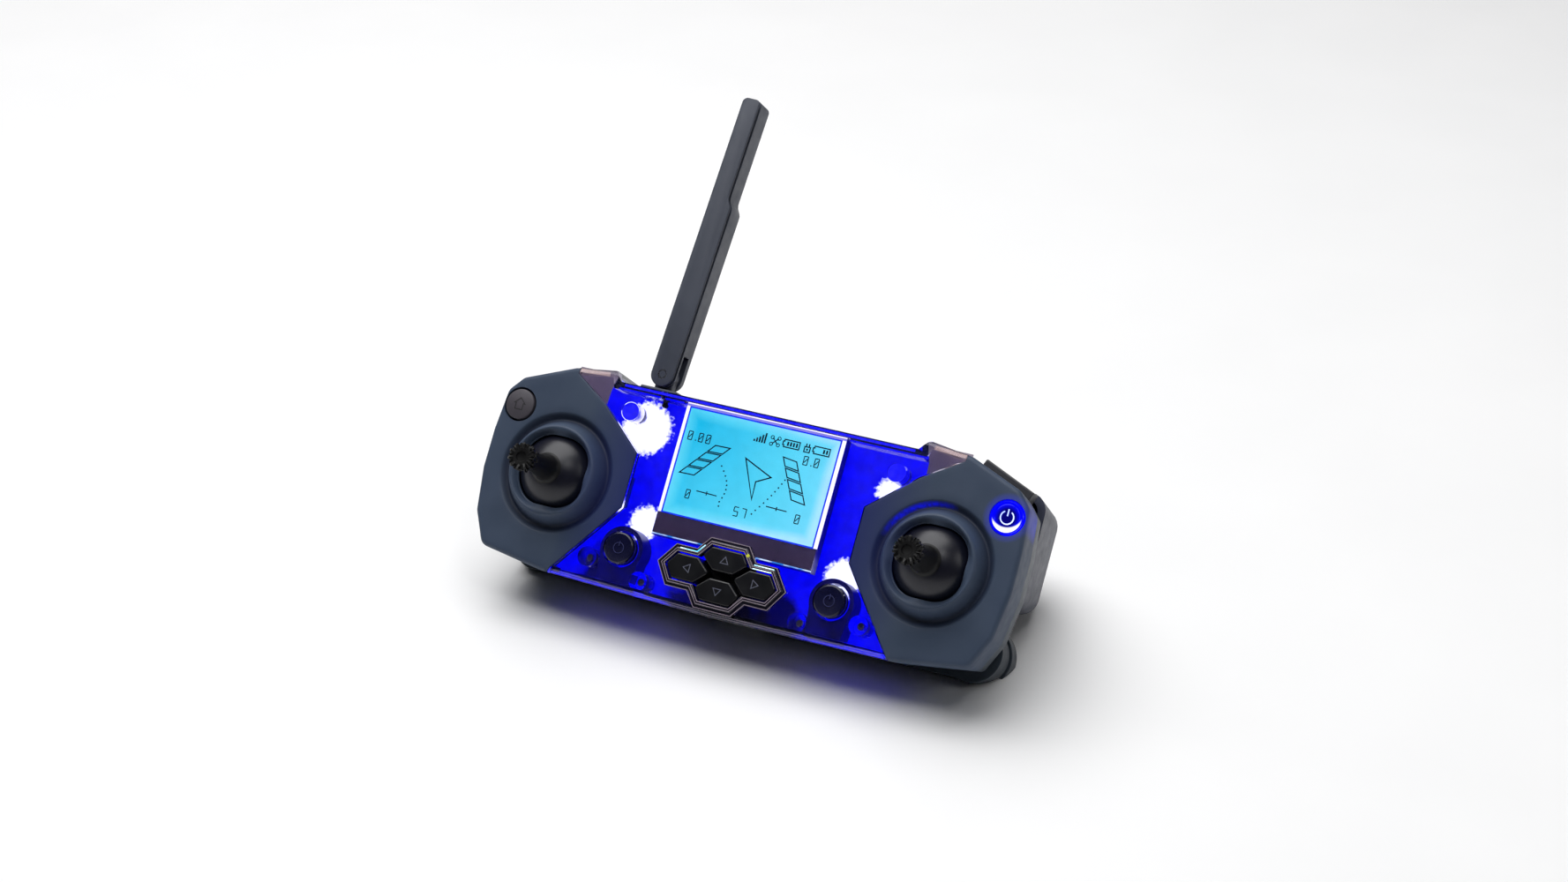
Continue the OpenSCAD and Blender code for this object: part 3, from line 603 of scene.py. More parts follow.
def outline_bars(points, width, low, high, closed=True):
    """A closed or open line drawn in thin strips with mitred joints."""
    count = len(points)
    pts = [Vector(p) for p in points]
    inner, outer = [], []
    for i, p in enumerate(pts):
        before = pts[i - 1] if closed or i else None
        after = pts[(i + 1) % count] if closed or i < count - 1 else None
        d1 = (p - before).normalized() if before is not None else (after - p).normalized()
        d2 = (after - p).normalized() if after is not None else d1
        normal = Vector((-(d1 + d2).y, (d1 + d2).x)).normalized()
        stretch = width / 2 / max(0.35, normal.dot(Vector((-d1.y, d1.x))))
        inner.append(p + normal * stretch)
        outer.append(p - normal * stretch)
    bm = bmesh.new()
    loops = []
    for ring, z in ((inner, low), (inner, high), (outer, high), (outer, low)):
        loops.append([bm.verts.new((v.x, v.y, z)) for v in ring])
    skin(bm, loops + [loops[0]], closed)
    if not closed:
        for end in (0, count - 1):
            bm.faces.new([loop[end] for loop in loops])
    bmesh.ops.recalc_face_normals(bm, faces=bm.faces)
    return bm


# ---------------------------------------------------------------- outline of the face, right half
HALF_OUTLINE = [(0, -27.6), (51.734, -26.7), (71.2, -23.8), (75.5, -15), (77.2, -3), (77.2, 8), (76.2, 19.4),
                (72.6, 23.6), (58, 29.4), (46.5, 31)]
CORNER_R = 3
SEAM = [(57, 32.2), (56.4, 27.9), (45.8, 21.1), (33.2, 10.3), (33.2, -5), (50.8, -28), (52, -34)]
SEAM_GAP = 0.15
SOCKET_R, GROOVE_R, CREST_R = 17, 14.9, 12.0
GROOVE_DEPTH, CREST_Z = 1.3, 3.6
OPENING, OPENING_CORNER = 9.7, 7.8
BALL_R, BALL_GAP = 11.65, 0.35
LIP = 0.35
GRIP_T = 2.6
SHELL_SEAM_Z = 13
STICK = Vector((STICK_X, 0))
COLUMNS = 300
FAR = 60.0
HALVINGS = 26
MEETING_HALVINGS = 24
SEAM_ROLL, RIM_ROLL = (0.4, 0.4), (1.3, 1.4)
DRAFT = 0.8


def crossing(p, d, q, e):
    """How far along p + t d the line q + s e is met, and s."""
    det = d[0] * e[1] - d[1] * e[0]
    if abs(det) < 1e-12:
        return None, None
    w = (q[0] - p[0], q[1] - p[1])
    return (w[0] * e[1] - w[1] * e[0]) / det, (w[0] * d[1] - w[1] * d[0]) / det


def moved_line(points, gap, closed):
    """The points moved so that each side lies that far to the left of where it was."""
    count = len(points)
    sides = []
    for i in range(count if closed else count - 1):
        a, b = Vector(points[i]), Vector(points[(i + 1) % count])
        d = (b - a).normalized()
        n = Vector((-d.y, d.x))
        sides.append((a + n * gap, d))
    result = []
    for i in range(count):
        if not closed and i in (0, count - 1):
            _, d = sides[0 if i == 0 else -1]
            result.append(Vector(points[i]) + Vector((-d.y, d.x)) * gap)
            continue
        a, d = sides[i - 1]
        b, e = sides[i % len(sides)]
        t, _ = crossing(a, d, b, e)
        result.append(a + d * t if t is not None else b)
    return result


FULL_OUTLINE = HALF_OUTLINE + [(-x, y) for x, y in HALF_OUTLINE[:0:-1]]
CORE = moved_line(FULL_OUTLINE, CORNER_R, True)


def outline_distance(p):
    """Signed distance from the face's rounded outline, negative inside."""
    deepest, nearest = -math.inf, math.inf
    for a, b in zip(CORE, CORE[1:] + CORE[:1]):
        d = b - a
        length = d.length
        d = d / length
        w = p - a
        deepest = max(deepest, w.x * d.y - w.y * d.x)
        along = min(max(w.dot(d), 0), length)
        nearest = min(nearest, (w - d * along).length)
    return (deepest if deepest < 0 else nearest) - CORNER_R


def heading(angle):
    return Vector((math.cos(angle), math.sin(angle)))


def ray_to_outline(d, inset):
    """Distance from the right-hand stick along d to where the outline is that far away."""
    low, high = 0.0, FAR
    for _ in range(HALVINGS):
        mid = (low + high) / 2
        if outline_distance(STICK + d * mid) < -inset:
            low = mid
        else:
            high = mid
    return low


def ray_to_seam(d, inset):
    """Distance from the right-hand stick along d to the seam of its grip cover, moved in by the inset."""
    best = math.inf
    line = moved_line(SEAM, SEAM_GAP + inset, False)
    for a, b in zip(line, line[1:]):
        t, s = crossing(STICK, d, a, b - a)
        if t is not None and t > 0 and -1e-9 <= s <= 1 + 1e-9:
            best = min(best, t)
    return best


def opening_radius(angle):
    """Distance from the stick to its rounded square opening."""
    c, s = abs(math.cos(angle)), abs(math.sin(angle))
    flat = OPENING - OPENING_CORNER
    t = OPENING / max(c, s)
    if min(c, s) * t <= flat:
        return t
    mid = flat * (c + s)
    return mid + math.sqrt(max(0, mid * mid - (2 * flat * flat - OPENING_CORNER ** 2)))


def socket_height(r, inner=0.0, inner_z=0.0):
    """Height of the surface round the stick: groove, collar and its slope down to the opening's lip."""
    if r > SOCKET_R:
        return 0.0
    if r > GROOVE_R:
        return -GROOVE_DEPTH * (1 + math.cos(math.pi * (r - GROOVE_R) / (SOCKET_R - GROOVE_R))) / 2
    if r > CREST_R:
        share = (1 - math.cos(math.pi * (GROOVE_R - r) / (GROOVE_R - CREST_R))) / 2
        return -GROOVE_DEPTH + (CREST_Z + GROOVE_DEPTH) * share
    return CREST_Z - (CREST_Z - inner_z) * (1 - math.cos(math.pi / 2 * (CREST_R - r) / (CREST_R - inner)))


def at_seam(angle):
    """Whether a ray from the stick meets the seam before the outline."""
    d = heading(angle)
    return ray_to_seam(d, 0) < ray_to_outline(d, 0)


def grip_angles():
    """Directions of the grip's columns, the seam's corners and both sides of where seam and outline meet."""
    angles = [2 * math.pi * i / COLUMNS for i in range(COLUMNS)]
    for x, y in moved_line(SEAM, SEAM_GAP, False)[1:-1]:
        angles.append(math.atan2(y, x - STICK_X) % (2 * math.pi))
    angles = sorted(angles)
    kinds = [at_seam(a) for a in angles]
    added = []
    for i, low in enumerate(angles):
        following = (i + 1) % len(angles)
        if kinds[i] == kinds[following]:
            continue
        high = angles[following]
        for _ in range(MEETING_HALVINGS):
            mid = (low + high) / 2
            low, high = (mid, high) if at_seam(mid) == kinds[i] else (low, mid)
        added += [low, high]
    return sorted(angles + added)


def grip_section(angle):
    """Section of the grip along one ray, as (radius, height) from the opening out and back underneath."""
    d = heading(angle)
    seam = at_seam(angle)
    hole = opening_radius(angle)
    wall_top = math.sqrt((BALL_R + BALL_GAP) ** 2 - hole * hole) - BALL_DEPTH
    top = wall_top + 0.5

    def reach(inset):
        return ray_to_seam(d, inset) if seam else ray_to_outline(d, inset)

    points = []
    for k in range(5):
        z = -GRIP_T + (wall_top + GRIP_T) * k / 4
        points.append((math.sqrt((BALL_R + BALL_GAP) ** 2 - (z + BALL_DEPTH) ** 2), z))
    points += [(hole, top - LIP), (hole + 0.3 * LIP, top - 0.3 * LIP), (hole + LIP, top)]
    for k in range(1, 8):
        r = hole + LIP + (CREST_R - hole - LIP) * k / 8
        points.append((r, socket_height(r, hole + LIP, top)))
    outward = [CREST_R + 0.02] + [CREST_R + (GROOVE_R - CREST_R) * k / 12 for k in range(1, 13)]
    outward += [GROOVE_R + (SOCKET_R - GROOVE_R) * k / 8 for k in range(1, 9)]
    points += [(r, socket_height(r)) for r in outward]
    width, drop = SEAM_ROLL if seam else RIM_ROLL
    edge = reach(width)
    points += [(SOCKET_R + (edge - SOCKET_R) * k / 5, 0) for k in range(1, 5)]
    for roll in (math.radians(15 * k) for k in range(7)):
        points.append((reach(width * (1 - math.sin(roll))), -drop * (1 - math.cos(roll))))
    if seam:
        points += [(reach(0), z) for z in (-1.0, -1.6, -2.2, -GRIP_T)]
        points += [(reach(0.6), -GRIP_T), (reach(1.2), -GRIP_T)]
    else:
        for z in (-4.5, -7.5, -10.5, -SHELL_SEAM_Z):
            points.append((reach(DRAFT * (-z - drop) / (SHELL_SEAM_Z - drop)), z))
        points += [(reach(2.8), -SHELL_SEAM_Z), (reach(2.1), -GRIP_T)]
    return points + [(SOCKET_R, -GRIP_T)]


def grip(side):
    """Soft-touch cover: flat face with rolled edges, groove and collar round the stick, side wall."""
    columns = []
    for angle in grip_angles():
        d = heading(angle)
        columns.append([(STICK.x + d.x * r, STICK.y + d.y * r, z) for r, z in grip_section(angle)])
    bm = bmesh.new()
    loops = [[bm.verts.new((x * side, y, z)) for x, y, z in ring] for ring in zip(*columns)]
    skin(bm, loops + [loops[0]])
    bmesh.ops.remove_doubles(bm, verts=bm.verts, dist=0.003)
    bmesh.ops.dissolve_degenerate(bm, dist=0.0005, edges=bm.edges)
    bmesh.ops.recalc_face_normals(bm, faces=bm.faces)
    return bm


def cut(obj, cutter_bm):
    """Cuts a shape, given in the face's frame, out of a piece."""
    mesh = bpy.data.meshes.new("cutter")
    cutter_bm.to_mesh(mesh)
    cutter_bm.free()
    mesh.transform(FACE)
    tool = bpy.data.objects.new("cutter", mesh)
    scene.collection.objects.link(tool)
    cutting = obj.modifiers.new("cut", "BOOLEAN")
    cutting.object = tool
    cutting.operation = "DIFFERENCE"
    cutting.solver = "EXACT"
    bpy.context.view_layer.update()
    done = bpy.data.meshes.new_from_object(obj.evaluated_get(bpy.context.evaluated_depsgraph_get()))
    obj.modifiers.remove(cutting)
    old, obj.data = obj.data, done
    bpy.data.meshes.remove(old)
    bpy.data.objects.remove(tool)
    bpy.data.meshes.remove(mesh)


BUTTON_HOLE_GAP = 0.4
corner = {}
for side, name, button in ((-1, "left_grip_cover", "home_button"), (1, "right_grip_cover", "power_button")):
    low, high = face_box(button)
    mid, r = (low + high) / 2, (high.x - low.x) / 2
    corner[button] = (mid, r, low.z, high.z)
    cover = piece(name + "_shape", grip(side), name, smooth=40)
    cut(cover, lathe([(r + BUTTON_HOLE_GAP, z) for z in (-6, 0, 3)], (mid.x, mid.y, 0), 72))
    cover.data.set_sharp_from_angle(angle=math.radians(40))


# ---------------------------------------------------------------- sticks
BALL_WALL = 1.5
CORE_R = 2.6
TEETH = 10
TIP_INSET = 0.45


def ball():
    """Hollow half ball with a hole for the stem."""
    def curve(radius, degrees):
        return [(radius * math.sin(math.radians(a)), radius * math.cos(math.radians(a))) for a in degrees]
    outer = curve(BALL_R, range(12, 85, 3))
    inner = curve(BALL_R - BALL_WALL, range(84, 12, -6))
    return lathe(outer + inner + outer[:1], (0, 0, -BALL_DEPTH), 96, caps=False)


def stem(foot, top):
    """Tapered stem that flares into the ball and into its crown, from (share of its length, radius)."""
    shares = [(0, 4.3), (0.02, 3.9), (0.06, 3.55), (0.15, 3.25), (0.35, 2.95), (0.6, 2.65), (0.85, 2.4),
              (0.95, 2.35), (0.97, 2.7), (1, 2.7)]
    return lathe([(0.8, foot)] + [(r, foot + (top - foot) * s) for s, r in shares] + [(0.8, top)], steps=64)


def crown(low, high):
    """Toothed tip: rows of small spikes on a core, with a ring of teeth round a dished top."""
    bm = lathe([(0.6, low), (CORE_R, low), (CORE_R, high - 0.9), (CORE_R - 0.25, high - 0.55),
                (1.5, high - 0.6), (1.3, high - 1.0), (0.3, high - 1.1)], steps=40)
    spikes = []
    for z, shift, lift in ((low + 0.9, 0, 0), (low + 2.1, 0.5, 0), (low + 3.3, 0, 8), (high - 0.75, 0.5, 42)):
        for i in range(TEETH):
            turn = Matrix.Rotation(math.tau * (i + shift) / TEETH, 4, "Z")
            tilt = Matrix.Rotation(math.radians(90 - lift), 4, "Y")
            spike = bmesh.new()
            bmesh.ops.create_cone(spike, cap_ends=True, segments=7, radius1=0.82, radius2=0.42, depth=1.6)
            bmesh.ops.transform(spike, matrix=turn @ Matrix.Translation((CORE_R + 0.35, 0, z)) @ tilt,
                                verts=spike.verts)
            spikes.append(spike)
    return join(bm, *spikes)


for side, name in ((-1, "left"), (1, "right")):
    shift = Matrix.Translation((side * STICK_X, 0, 0))
    tip_low, tip_high = face_box(name + "_stick_tip")
    foot = face_box(name + "_stick_stem")[0].z + 0.15
    for part, bm, smooth in (("ball", ball(), 50), ("stem", stem(foot, tip_low.z + 0.3), 50),
                             ("tip", crown(tip_low.z, tip_high.z - TIP_INSET), 30)):
        bmesh.ops.transform(bm, matrix=shift, verts=bm.verts)
        node = name + "_stick_" + part
        piece(node + "_shape", bm, node, smooth=smooth)

# ---------------------------------------------------------------- antenna
PIVOT = TO_FACE @ Vector(JOINTS["antenna_fold"]["pos_m"])
ANTENNA_TILT = 3
ANTENNA_LEN = 80
ANTENNA = Matrix.Translation(PIVOT) @ Matrix.Rotation(math.radians(-ANTENNA_TILT), 4, "Z")
HALF_W, HALF_D = 3.4, 4.3
END_R = 1.5
# (height, how far in) of the soft step from the wide foot to the thin end
STEP = [(47.9, 0), (48.7, 0.05), (49.4, 0.35), (50.1, 0.8), (50.8, 1.25), (51.6, 1.5), (52.5, 1.55)]
SEAM_FRONT, SEAM_BACK = HALF_D - 0.45, HALF_D - 1.75
# the slot that leaves a fork at the foot: its size, and its middle from the pivot
FORK = (14, 16, 3.4)
FORK_MID = -1.5


def antenna_shape(low, high, inset=0.0):
    """Stepped bar with a round foot."""
    w, top = HALF_W - inset, ANTENNA_LEN - inset
    thin = w - STEP[-1][1]
    ends = arc((thin - END_R, top - END_R), END_R, 0, 90, 6)
    ends += arc((-w + END_R, top - END_R), END_R, 90, 180, 6)
    return prism([(w - d, y) for y, d in STEP] + ends + arc((0, 0), w, 180, 360, 28), low, high)


front = round_top(antenna_shape(SEAM_FRONT, HALF_D), HALF_D, 0.3)
back = round_top(antenna_shape(-HALF_D, SEAM_BACK), -HALF_D, 0.8)
joint = antenna_shape(SEAM_BACK - 0.05, SEAM_FRONT + 0.05, 0.5)
for bm in (front, back, joint):
    bmesh.ops.transform(bm, matrix=ANTENNA, verts=bm.verts)
piece("antenna_front_shape", front, "antenna_front", smooth=40)
antenna_back = piece("antenna_back_shape", back, "antenna_back", smooth=40)
trim("antenna_joint", joint, "antenna_back", "black_plastic")
fork = bmesh.new()
bmesh.ops.create_cube(fork, size=1)
bmesh.ops.transform(fork, matrix=ANTENNA @ Matrix.Translation((0, FORK_MID, 0)) @ Matrix.Diagonal((*FORK, 1)),
                    verts=fork.verts)
cut(antenna_back, fork)
antenna_back.data.set_sharp_from_angle(angle=math.radians(40))
refined("antenna_bracket", 0.35, 3)
pin = lathe([(0.2, HALF_D - 0.25), (0.75, HALF_D - 0.25), (0.95, HALF_D), (1.3, HALF_D), (1.3, -HALF_D + 0.1),
             (0.2, -HALF_D + 0.1)], PIVOT, 40)
piece("antenna_pin_shape", pin, "antenna_pin")

# ---------------------------------------------------------------- keys
KEY_MARKS = {"key_up": (0, 1), "key_down": (0, -1), "key_left": (-1, 0), "key_right": (1, 0)}
MARK_SIZE = 1.5
# outline of the dark mat under the four keys
MAT_OUTLINE = [(-4.5, -9.2), (4.5, -9.2), (7.5, -13), (13.5, -13), (16, -16.4), (13.7, -19.9), (7.4, -19.9),
               (4.3, -23.8), (-4.3, -23.8), (-7.4, -19.9), (-13.7, -19.9), (-16, -16.4), (-13.5, -13),
               (-7.5, -13)]
FRAME_TOP = face_box("keypad_frame")[1].z
STEP_Z = 0.35
GLINTS = ([(-13.2, -11.6), (-8.2, -11.6), (-6.4, -9.4)], [(8.4, -11.4), (14.2, -11.4)],
          [(8.2, -12.4), (13.6, -12.4)])
STATUS = [(5.4, -9.5), (5.9, -10.0), (6.6, -9.5), (6.0, -8.9)]


def triangle(mid, way, size):
    """A triangle that points one way."""
    way = Vector(way)
    across = Vector((-way.y, way.x))
    mid = Vector(mid)
    corners = [mid + way * size * 0.7, mid - way * size * 0.5 + across * size * 0.75,
               mid - way * size * 0.5 - across * size * 0.75]
    return [(p.x, p.y) for p in corners]


for name, way in KEY_MARKS.items():
    low, high = face_box(name)
    refined(name, 0.42, 3, 40)
    mid = (low + high) / 2
    mark = outline_bars(triangle((mid.x, mid.y), way, MARK_SIZE), 0.22, high.z - 0.02, high.z + 0.05)
    trim(name + "_mark", mark, name, "key_mark")
refined("keypad_frame", 0.22)
trim("key_mat", prism(MAT_OUTLINE, -5.2, -4.3), "keypad_frame", "black_rubber")

# painted highlight lines along the steps of the frame, and painted glints where they pass the display
frame_highlights = [outline_bars(moved_line(MAT_OUTLINE, gap, True), width, z, z + 0.03)
               for gap, width, z in ((0.55, 0.2, FRAME_TOP), (1.15, 0.16, FRAME_TOP), (2.2, 0.2, STEP_Z))]
trim("frame_highlights", join(*frame_highlights), "keypad_frame", "edge_highlight")
glints = [outline_bars(points, 0.24, FRAME_TOP + 0.02, FRAME_TOP + 0.06, closed=False) for points in GLINTS]
trim("frame_glints", join(*glints), "keypad_frame", "edge_lit")
status = round_top(prism(STATUS, FRAME_TOP - 0.05, FRAME_TOP + 0.05), FRAME_TOP + 0.05, 0.04)
trim("status_light", status, "keypad_frame", "status_light")

# ---------------------------------------------------------------- round buttons and corner buttons
TOWER_R, TOWER_TOP, TOWER_GAP, TOWER_FOOT = 6.2, -2.3, 0.7, -24.9
LED_TOP = face_box("glow_leds")[1].z
TOWER_LOW = LED_TOP + 0.5
HOUSE = [(-1.6, 0.2), (0, 1.7), (1.6, 0.2), (1.1, 0.2), (1.1, -1.5), (-1.1, -1.5), (-1.1, 0.2)]
SIGN_R = 1.75


def band(r_in, r_out, low, high, mid, steps):
    """A flat ring."""
    ring = [(r_in, low), (r_out, low), (r_out, high), (r_in, high), (r_in, low)]
    return lathe(ring, (mid.x, mid.y, 0), steps, caps=False)


# round buttons: a shallow dish with a small raised mark, each on a tower that fills the space below it; the
# tower's dim navy glow is painted shade in the blue light
for name in ("left_round_button", "right_round_button"):
    low, high = face_box(name)
    mid, r, top = (low + high) / 2, (high.x - low.x) / 2, high.z
    profile = [(0.2, low.z), (r, low.z), (r, top - 0.55), (r - 0.12, top - 0.22), (r - 0.45, top),
               (r - 0.8, top - 0.04), (r * 0.5, top - 0.22), (0.2, top - 0.28)]
    piece(name + "_shape", lathe(profile, (mid.x, mid.y, 0), 64), name, "button_navy")
    dash = bar((mid.x, mid.y + 0.5), (mid.x, mid.y + 1.9), 0.22, top - 0.3, top - 0.05)
    trim(name + "_mark", join(band(1.35, 1.55, top - 0.3, top - 0.08, mid, 40), dash), name, "mark_faint")
    arch = arc((mid.x, mid.y), TOWER_R, -25, 205, 26) + [(mid.x - 5, TOWER_FOOT), (mid.x + 5, TOWER_FOOT)]
    tower = trim(name + "_tower", prism(arch, TOWER_LOW, TOWER_TOP), "front_cover", "tower_navy")
    cut(tower, lathe([(r + TOWER_GAP, z) for z in (TOWER_LOW - 1, -3, 0)], (mid.x, mid.y, 0), 48))

# home button: flat top with a rolled edge and a small house mark
mid, r, low_z, top = corner["home_button"]
r -= 0.15
profile = [(0.2, low_z), (r, low_z), (r, top - 0.5), (r - 0.12, top - 0.18), (r - 0.42, top), (0.2, top)]
piece("home_button_shape", lathe(profile, (mid.x, mid.y, 0), 72), "home_button")
house = outline_bars([(mid.x + x, mid.y + y) for x, y in HOUSE], 0.24, top - 0.02, top + 0.04)
trim("home_button_mark", house, "home_button", "mark_dark")

# power button: lit lens in a lit ring, with the usual arc-and-bar sign
mid, r, low_z, top = corner["power_button"]
profile = [(0.2, low_z), (r, low_z), (r, top - 0.3), (r - 0.2, top - 0.05), (r - 0.6, top),
           (r - 0.95, top - 0.12), (r - 1.15, top - 0.3), (0.2, top - 0.3)]
piece("power_button_shape", lathe(profile, (mid.x, mid.y, 0), 72), "power_button")
sign = outline_bars(arc((mid.x, mid.y), SIGN_R, 122, 418, 24), 0.3, top - 0.3, top - 0.12, closed=False)
stroke = bar((mid.x, mid.y + 0.4), (mid.x, mid.y + 2.2), 0.3, top - 0.3, top - 0.12)
trim("power_button_sign", join(sign, stroke), "power_button", "power_sign")
trim("power_ring", band(r + 0.06, r + 0.24, -0.9, -0.25, mid, 72), "right_grip_cover", "power_lens")

# ---------------------------------------------------------------- display
INK_LOW, INK_HIGH = GLASS_HIGH.z + 0.01, GLASS_HIGH.z + 0.06
INK_W, DIGIT_W, SCALE_W, THIN_W, PIN_W = 0.32, 0.26, 0.3, 0.22, 0.34
DIGITS = {"0": "abcdefs", "5": "acdfg", "7": "abc"}
SEGMENTS = {"a": ((0, 2), (1, 2)), "b": ((1, 1), (1, 2)), "c": ((1, 0), (1, 1)), "d": ((0, 0), (1, 0)),
            "e": ((0, 0), (0, 1)), "f": ((0, 1), (0, 2)), "g": ((0, 1), (1, 1)),
            "s": ((0.15, 0.5), (0.85, 1.5))}
# (numbers, lower left corner, height of the digits)
NUMBERS = (("0.00", -20.6, 17.2, 2.3), ("0.0", 13.2, 17.5, 2.3), ("0", -16.8, 1.7, 2.3),
           ("57", -2.1, 0.1, 2.4), ("0", 15.2, 1.9, 2.3))
SIGNAL_BARS = (0.6, 1.1, 1.6, 2.2, 2.8)
FAN = (4.0, 21.9)
POINTER = [(-2.8, 15.7), (5.6, 12.2), (1.7, 10.2), (1.9, 5.4)]
SCALES = ((-14.0, 4.2), (6.4, 4.5))
DOTS = 10


def ink(a, b, width):
    return bar(a, b, width, INK_LOW, INK_HIGH)


def ink_line(points, width=INK_W):
    return outline_bars(points, width, INK_LOW, INK_HIGH)


def block(x, y, w, h):
    """A filled cell by its middle, width and height."""
    left, right, low, high = x - w / 2, x + w / 2, y - h / 2, y + h / 2
    return prism([(left, low), (right, low), (right, high), (left, high)], INK_LOW, INK_HIGH)


def digits(text, x, y, size):
    """Numbers in plain segments from a lower left corner."""
    made = []
    for sign in text:
        if sign == ".":
            made.append(block(x + 0.15, y + 0.15, 0.32, 0.32))
            x += 0.95
            continue
        for part in DIGITS[sign]:
            a, b = ((x + across * size / 2, y + up * size / 2) for across, up in SEGMENTS[part])
            made.append(ink(a, b, DIGIT_W))
        x += size * 0.95
    return made


def ladder(top, bottom, wide, count=4):
    """A leaning column of outlined cells."""
    made = []
    top, bottom, wide = Vector(top), Vector(bottom), Vector(wide)
    step = (bottom - top) / count
    for i in range(count):
        a = top + step * i
        b = a + step * 0.82
        made.append(ink_line([a, a + wide, b + wide, b]))
    return made


def battery(x, y, cells, w=4.4, h=2.0):
    """An outlined battery with its nub on the left and some cells filled."""
    left, right = x - w / 2, x + w / 2
    body = [(left, y - h / 2), (right, y - h / 2), (right, y + h / 2), (left, y + h / 2), (left, y + h / 4),
            (left - 0.35, y + h / 4), (left - 0.35, y - h / 4), (left, y - h / 4)]
    return [ink_line(body)] + [block(right - 0.75 - 0.85 * i, y, 0.5, h - 0.85) for i in range(cells)]


def fan(x, y):
    """Two crossed arms with a small rotor at each end."""
    arms = [ink((x - 0.8, y - 0.8 * rise), (x + 0.8, y + 0.8 * rise), SCALE_W) for rise in (1, -1)]
    rotors = [ink_line(arc((x + dx, y + dy), 0.45, 0, 324, 9), THIN_W)
              for dx in (-1.0, 1.0) for dy in (-0.9, 0.9)]
    return arms + rotors


def plug(x, y):
    """A plug with two pins."""
    socket = ink_line([(x - 0.8, y - 0.7), (x + 0.8, y - 0.7), (x + 0.8, y + 0.7), (x - 0.8, y + 0.7)])
    pins = [ink((x + dx, y + 0.7), (x + dx, y + 1.6), PIN_W) for dx in (-0.4, 0.4)]
    return [socket] + pins + [block(x, y, 0.5, 0.5)]


marks = [block(-1.9 + 0.75 * i, 20.7 + tall / 2, 0.46, tall) for i, tall in enumerate(SIGNAL_BARS)]
marks += fan(*FAN) + battery(8.8, 22.0, 4) + plug(13.3, 21.6) + battery(17.5, 22.0, 2)
for number in NUMBERS:
    marks += digits(*number)
marks += ladder((-12.2, 17.2), (-20.6, 7.6), (4.3, 0.1)) + ladder((7.4, 18.3), (13.0, 7.2), (4.0, -0.5))
marks.append(ink_line(POINTER, 0.36))
for x, y in SCALES:
    marks += [ink((x, y), (x + 6.0, y - 0.1), SCALE_W), ink((x + 3.0, y - 0.6), (x + 3.0, y + 0.5), SCALE_W)]
for i in range(DOTS):
    t = i / (DOTS - 1)
    bulge = 1.9 * math.sin(math.pi * min(1, t * 1.1))
    marks.append(block(-8.9 + 2.2 * t + bulge, 12.2 - 10.6 * t, 0.4, 0.4))
    marks.append(block(9.6 - 6.6 * t + bulge * 0.2, 12.4 - 10.8 * t, 0.4, 0.4))
trim("lcd_marks", join(*marks), "lcd_glass", "lcd_ink")
rim = [(GLASS_LOW.x, GLASS_LOW.y), (GLASS_HIGH.x, GLASS_LOW.y), (GLASS_HIGH.x, GLASS_HIGH.y),
       (GLASS_LOW.x, GLASS_HIGH.y)]
# a gasket round the glass that glows: painted blue light
trim("lcd_gasket", outline_bars(rim, 0.42, GLASS_HIGH.z - 0.2, GLASS_HIGH.z + 0.08), "lcd_glass", "blue_line")

# ---------------------------------------------------------------- painted light inside the clear cover
FILM_SIDE = [(54.5, 27.4), (49.5, 19.3), (37.2, 8.5), (37.2, -4.5), (44.3, -14.8), (51.5, -22), (51.5, -24.9)]
FOOT_BAND = [(-49.4, -26.6), (0, -27.4), (49.4, -26.6), (48.4, -25.9), (0, -26.7), (-48.4, -25.9)]
TOP_BAND = [(-42.5, 27.25), (42.5, 27.25), (42.5, 27.95), (-42.5, 27.95)]
BAND_Z = (-1.1, -0.9)
FOOT_LINE = ((-48, -25.7), (0, -26.5), (48, -25.7))
LINER = [(46.8, 21.0), (57.5, 28.2), (57.5, 30.2), (45.2, 30.2), (46.6, 25.5)]
LIT_DISC_R = 2.5

film = FILM_SIDE + [(-x, y) for x, y in FILM_SIDE[::-1]]
trim("light_film", prism(film, LED_TOP + 0.1, LED_TOP + 0.35), "main_board", "white_board")
# lit discs over the screw bosses: painted blue light that hides the bosses
screw_low, screw_high = face_box("rear_screws")
head_r = (screw_high.y - screw_low.y) / 2
lit_discs = [prism(arc((side * (screw_high.x - head_r), screw_low.y + head_r), LIT_DISC_R, 0, 345, 24), -1.75, -1.55)
         for side in (-1, 1)]
trim("boss_glow_patches", join(*lit_discs), "front_cover", "edge_band")
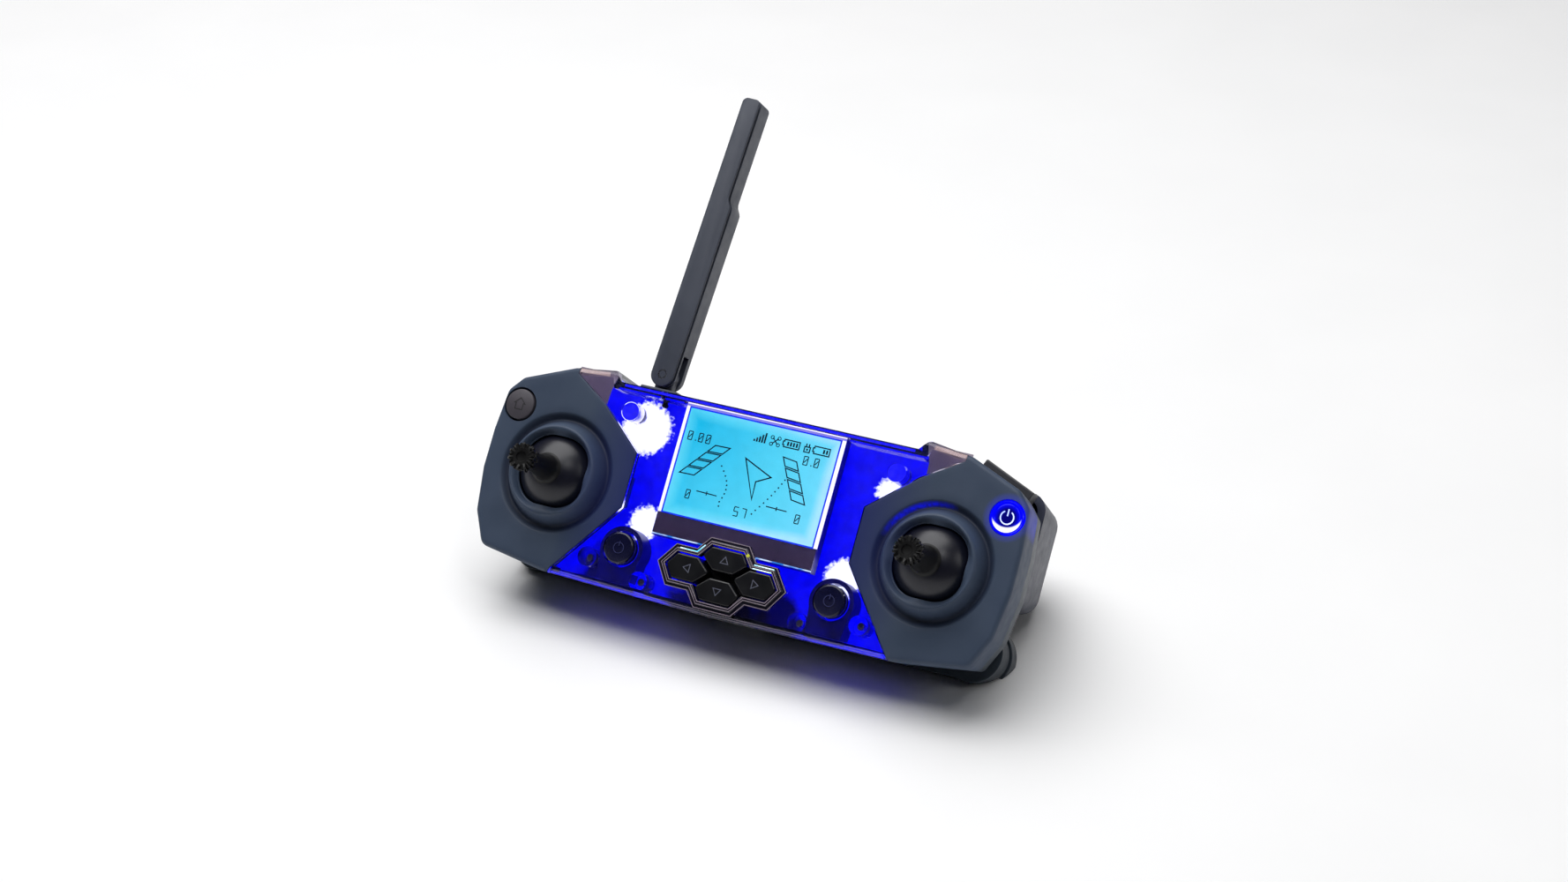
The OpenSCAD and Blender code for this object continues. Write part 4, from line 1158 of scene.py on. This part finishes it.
# bands inside the foot and top walls that glow: painted blue light spread through the clear plastic
trim("edge_band", prism(FOOT_BAND, *BAND_Z), "front_cover", "edge_band")
trim("top_band", prism(TOP_BAND, *BAND_Z), "front_cover", "edge_band")
# two painted highlight lines along the foot of the cover
for name, rise in (("edge_line_upper", 0), ("edge_line_lower", -0.55)):
    line = [(x, y + rise) for x, y in FOOT_LINE]
    trim(name, outline_bars(line, 0.16, -0.6, -0.5, closed=False), "front_cover", "edge_highlight")
for side, name in ((-1, "left"), (1, "right")):
    liner = [(side * x, y) for x, y in LINER]
    trim("shoulder_liner_" + name, prism(liner, -2.6, -2.4), "front_cover", "shoulder_liner")
    # a painted pinkish highlight along the shoulder's top edge
    pale = outline_bars([(side * 56.4, 28.9), (side * 47.6, 29.5)], 1.0, -0.9, -0.6, closed=False)
    trim("shoulder_highlight_" + name, pale, "front_cover", "pale_highlight")

# ---------------------------------------------------------------- shells and hardware, with softened edges
EDGES = {"rear_shell": 0.35, "left_handle": 0.6, "right_handle": 0.6, "battery_door": 0.3,
         "left_hinge_cap": 0.6, "right_hinge_cap": 0.6, "left_clamp_arm": 0.5, "right_clamp_arm": 0.5,
         "left_clamp_pad": 0.25, "right_clamp_pad": 0.25, "front_cover": 0.12, "usb_socket": 0.12,
         "handle_feet": 0.3}
for node, width in EDGES.items():
    refined(node, width)
for node in ("left_shoulder_button", "right_shoulder_button"):
    refined(node, 0.4, slot="shoulder_grey")


# ---------------------------------------------------------------- floor
FLOOR_R = 6


def floor():
    """A plain pale disc, which is not part of the object."""
    bm = bmesh.new()
    bmesh.ops.create_circle(bm, cap_ends=True, segments=96, radius=FLOOR_R)
    mesh = bpy.data.meshes.new("table")
    bm.to_mesh(mesh)
    bm.free()
    table = bpy.data.objects.new("table", mesh)
    scene.collection.objects.link(table)
    paint = Paint("table_white")
    white = paint.ramp(paint.noise(0.02), [(0.3, (0.965, 0.965, 0.97, 1)), (0.7, (0.985, 0.985, 0.99, 1))])
    paint.set(Base_Color=white, Roughness=0.5)
    mesh.materials.append(paint.mat)


floor()
paint_nodes()
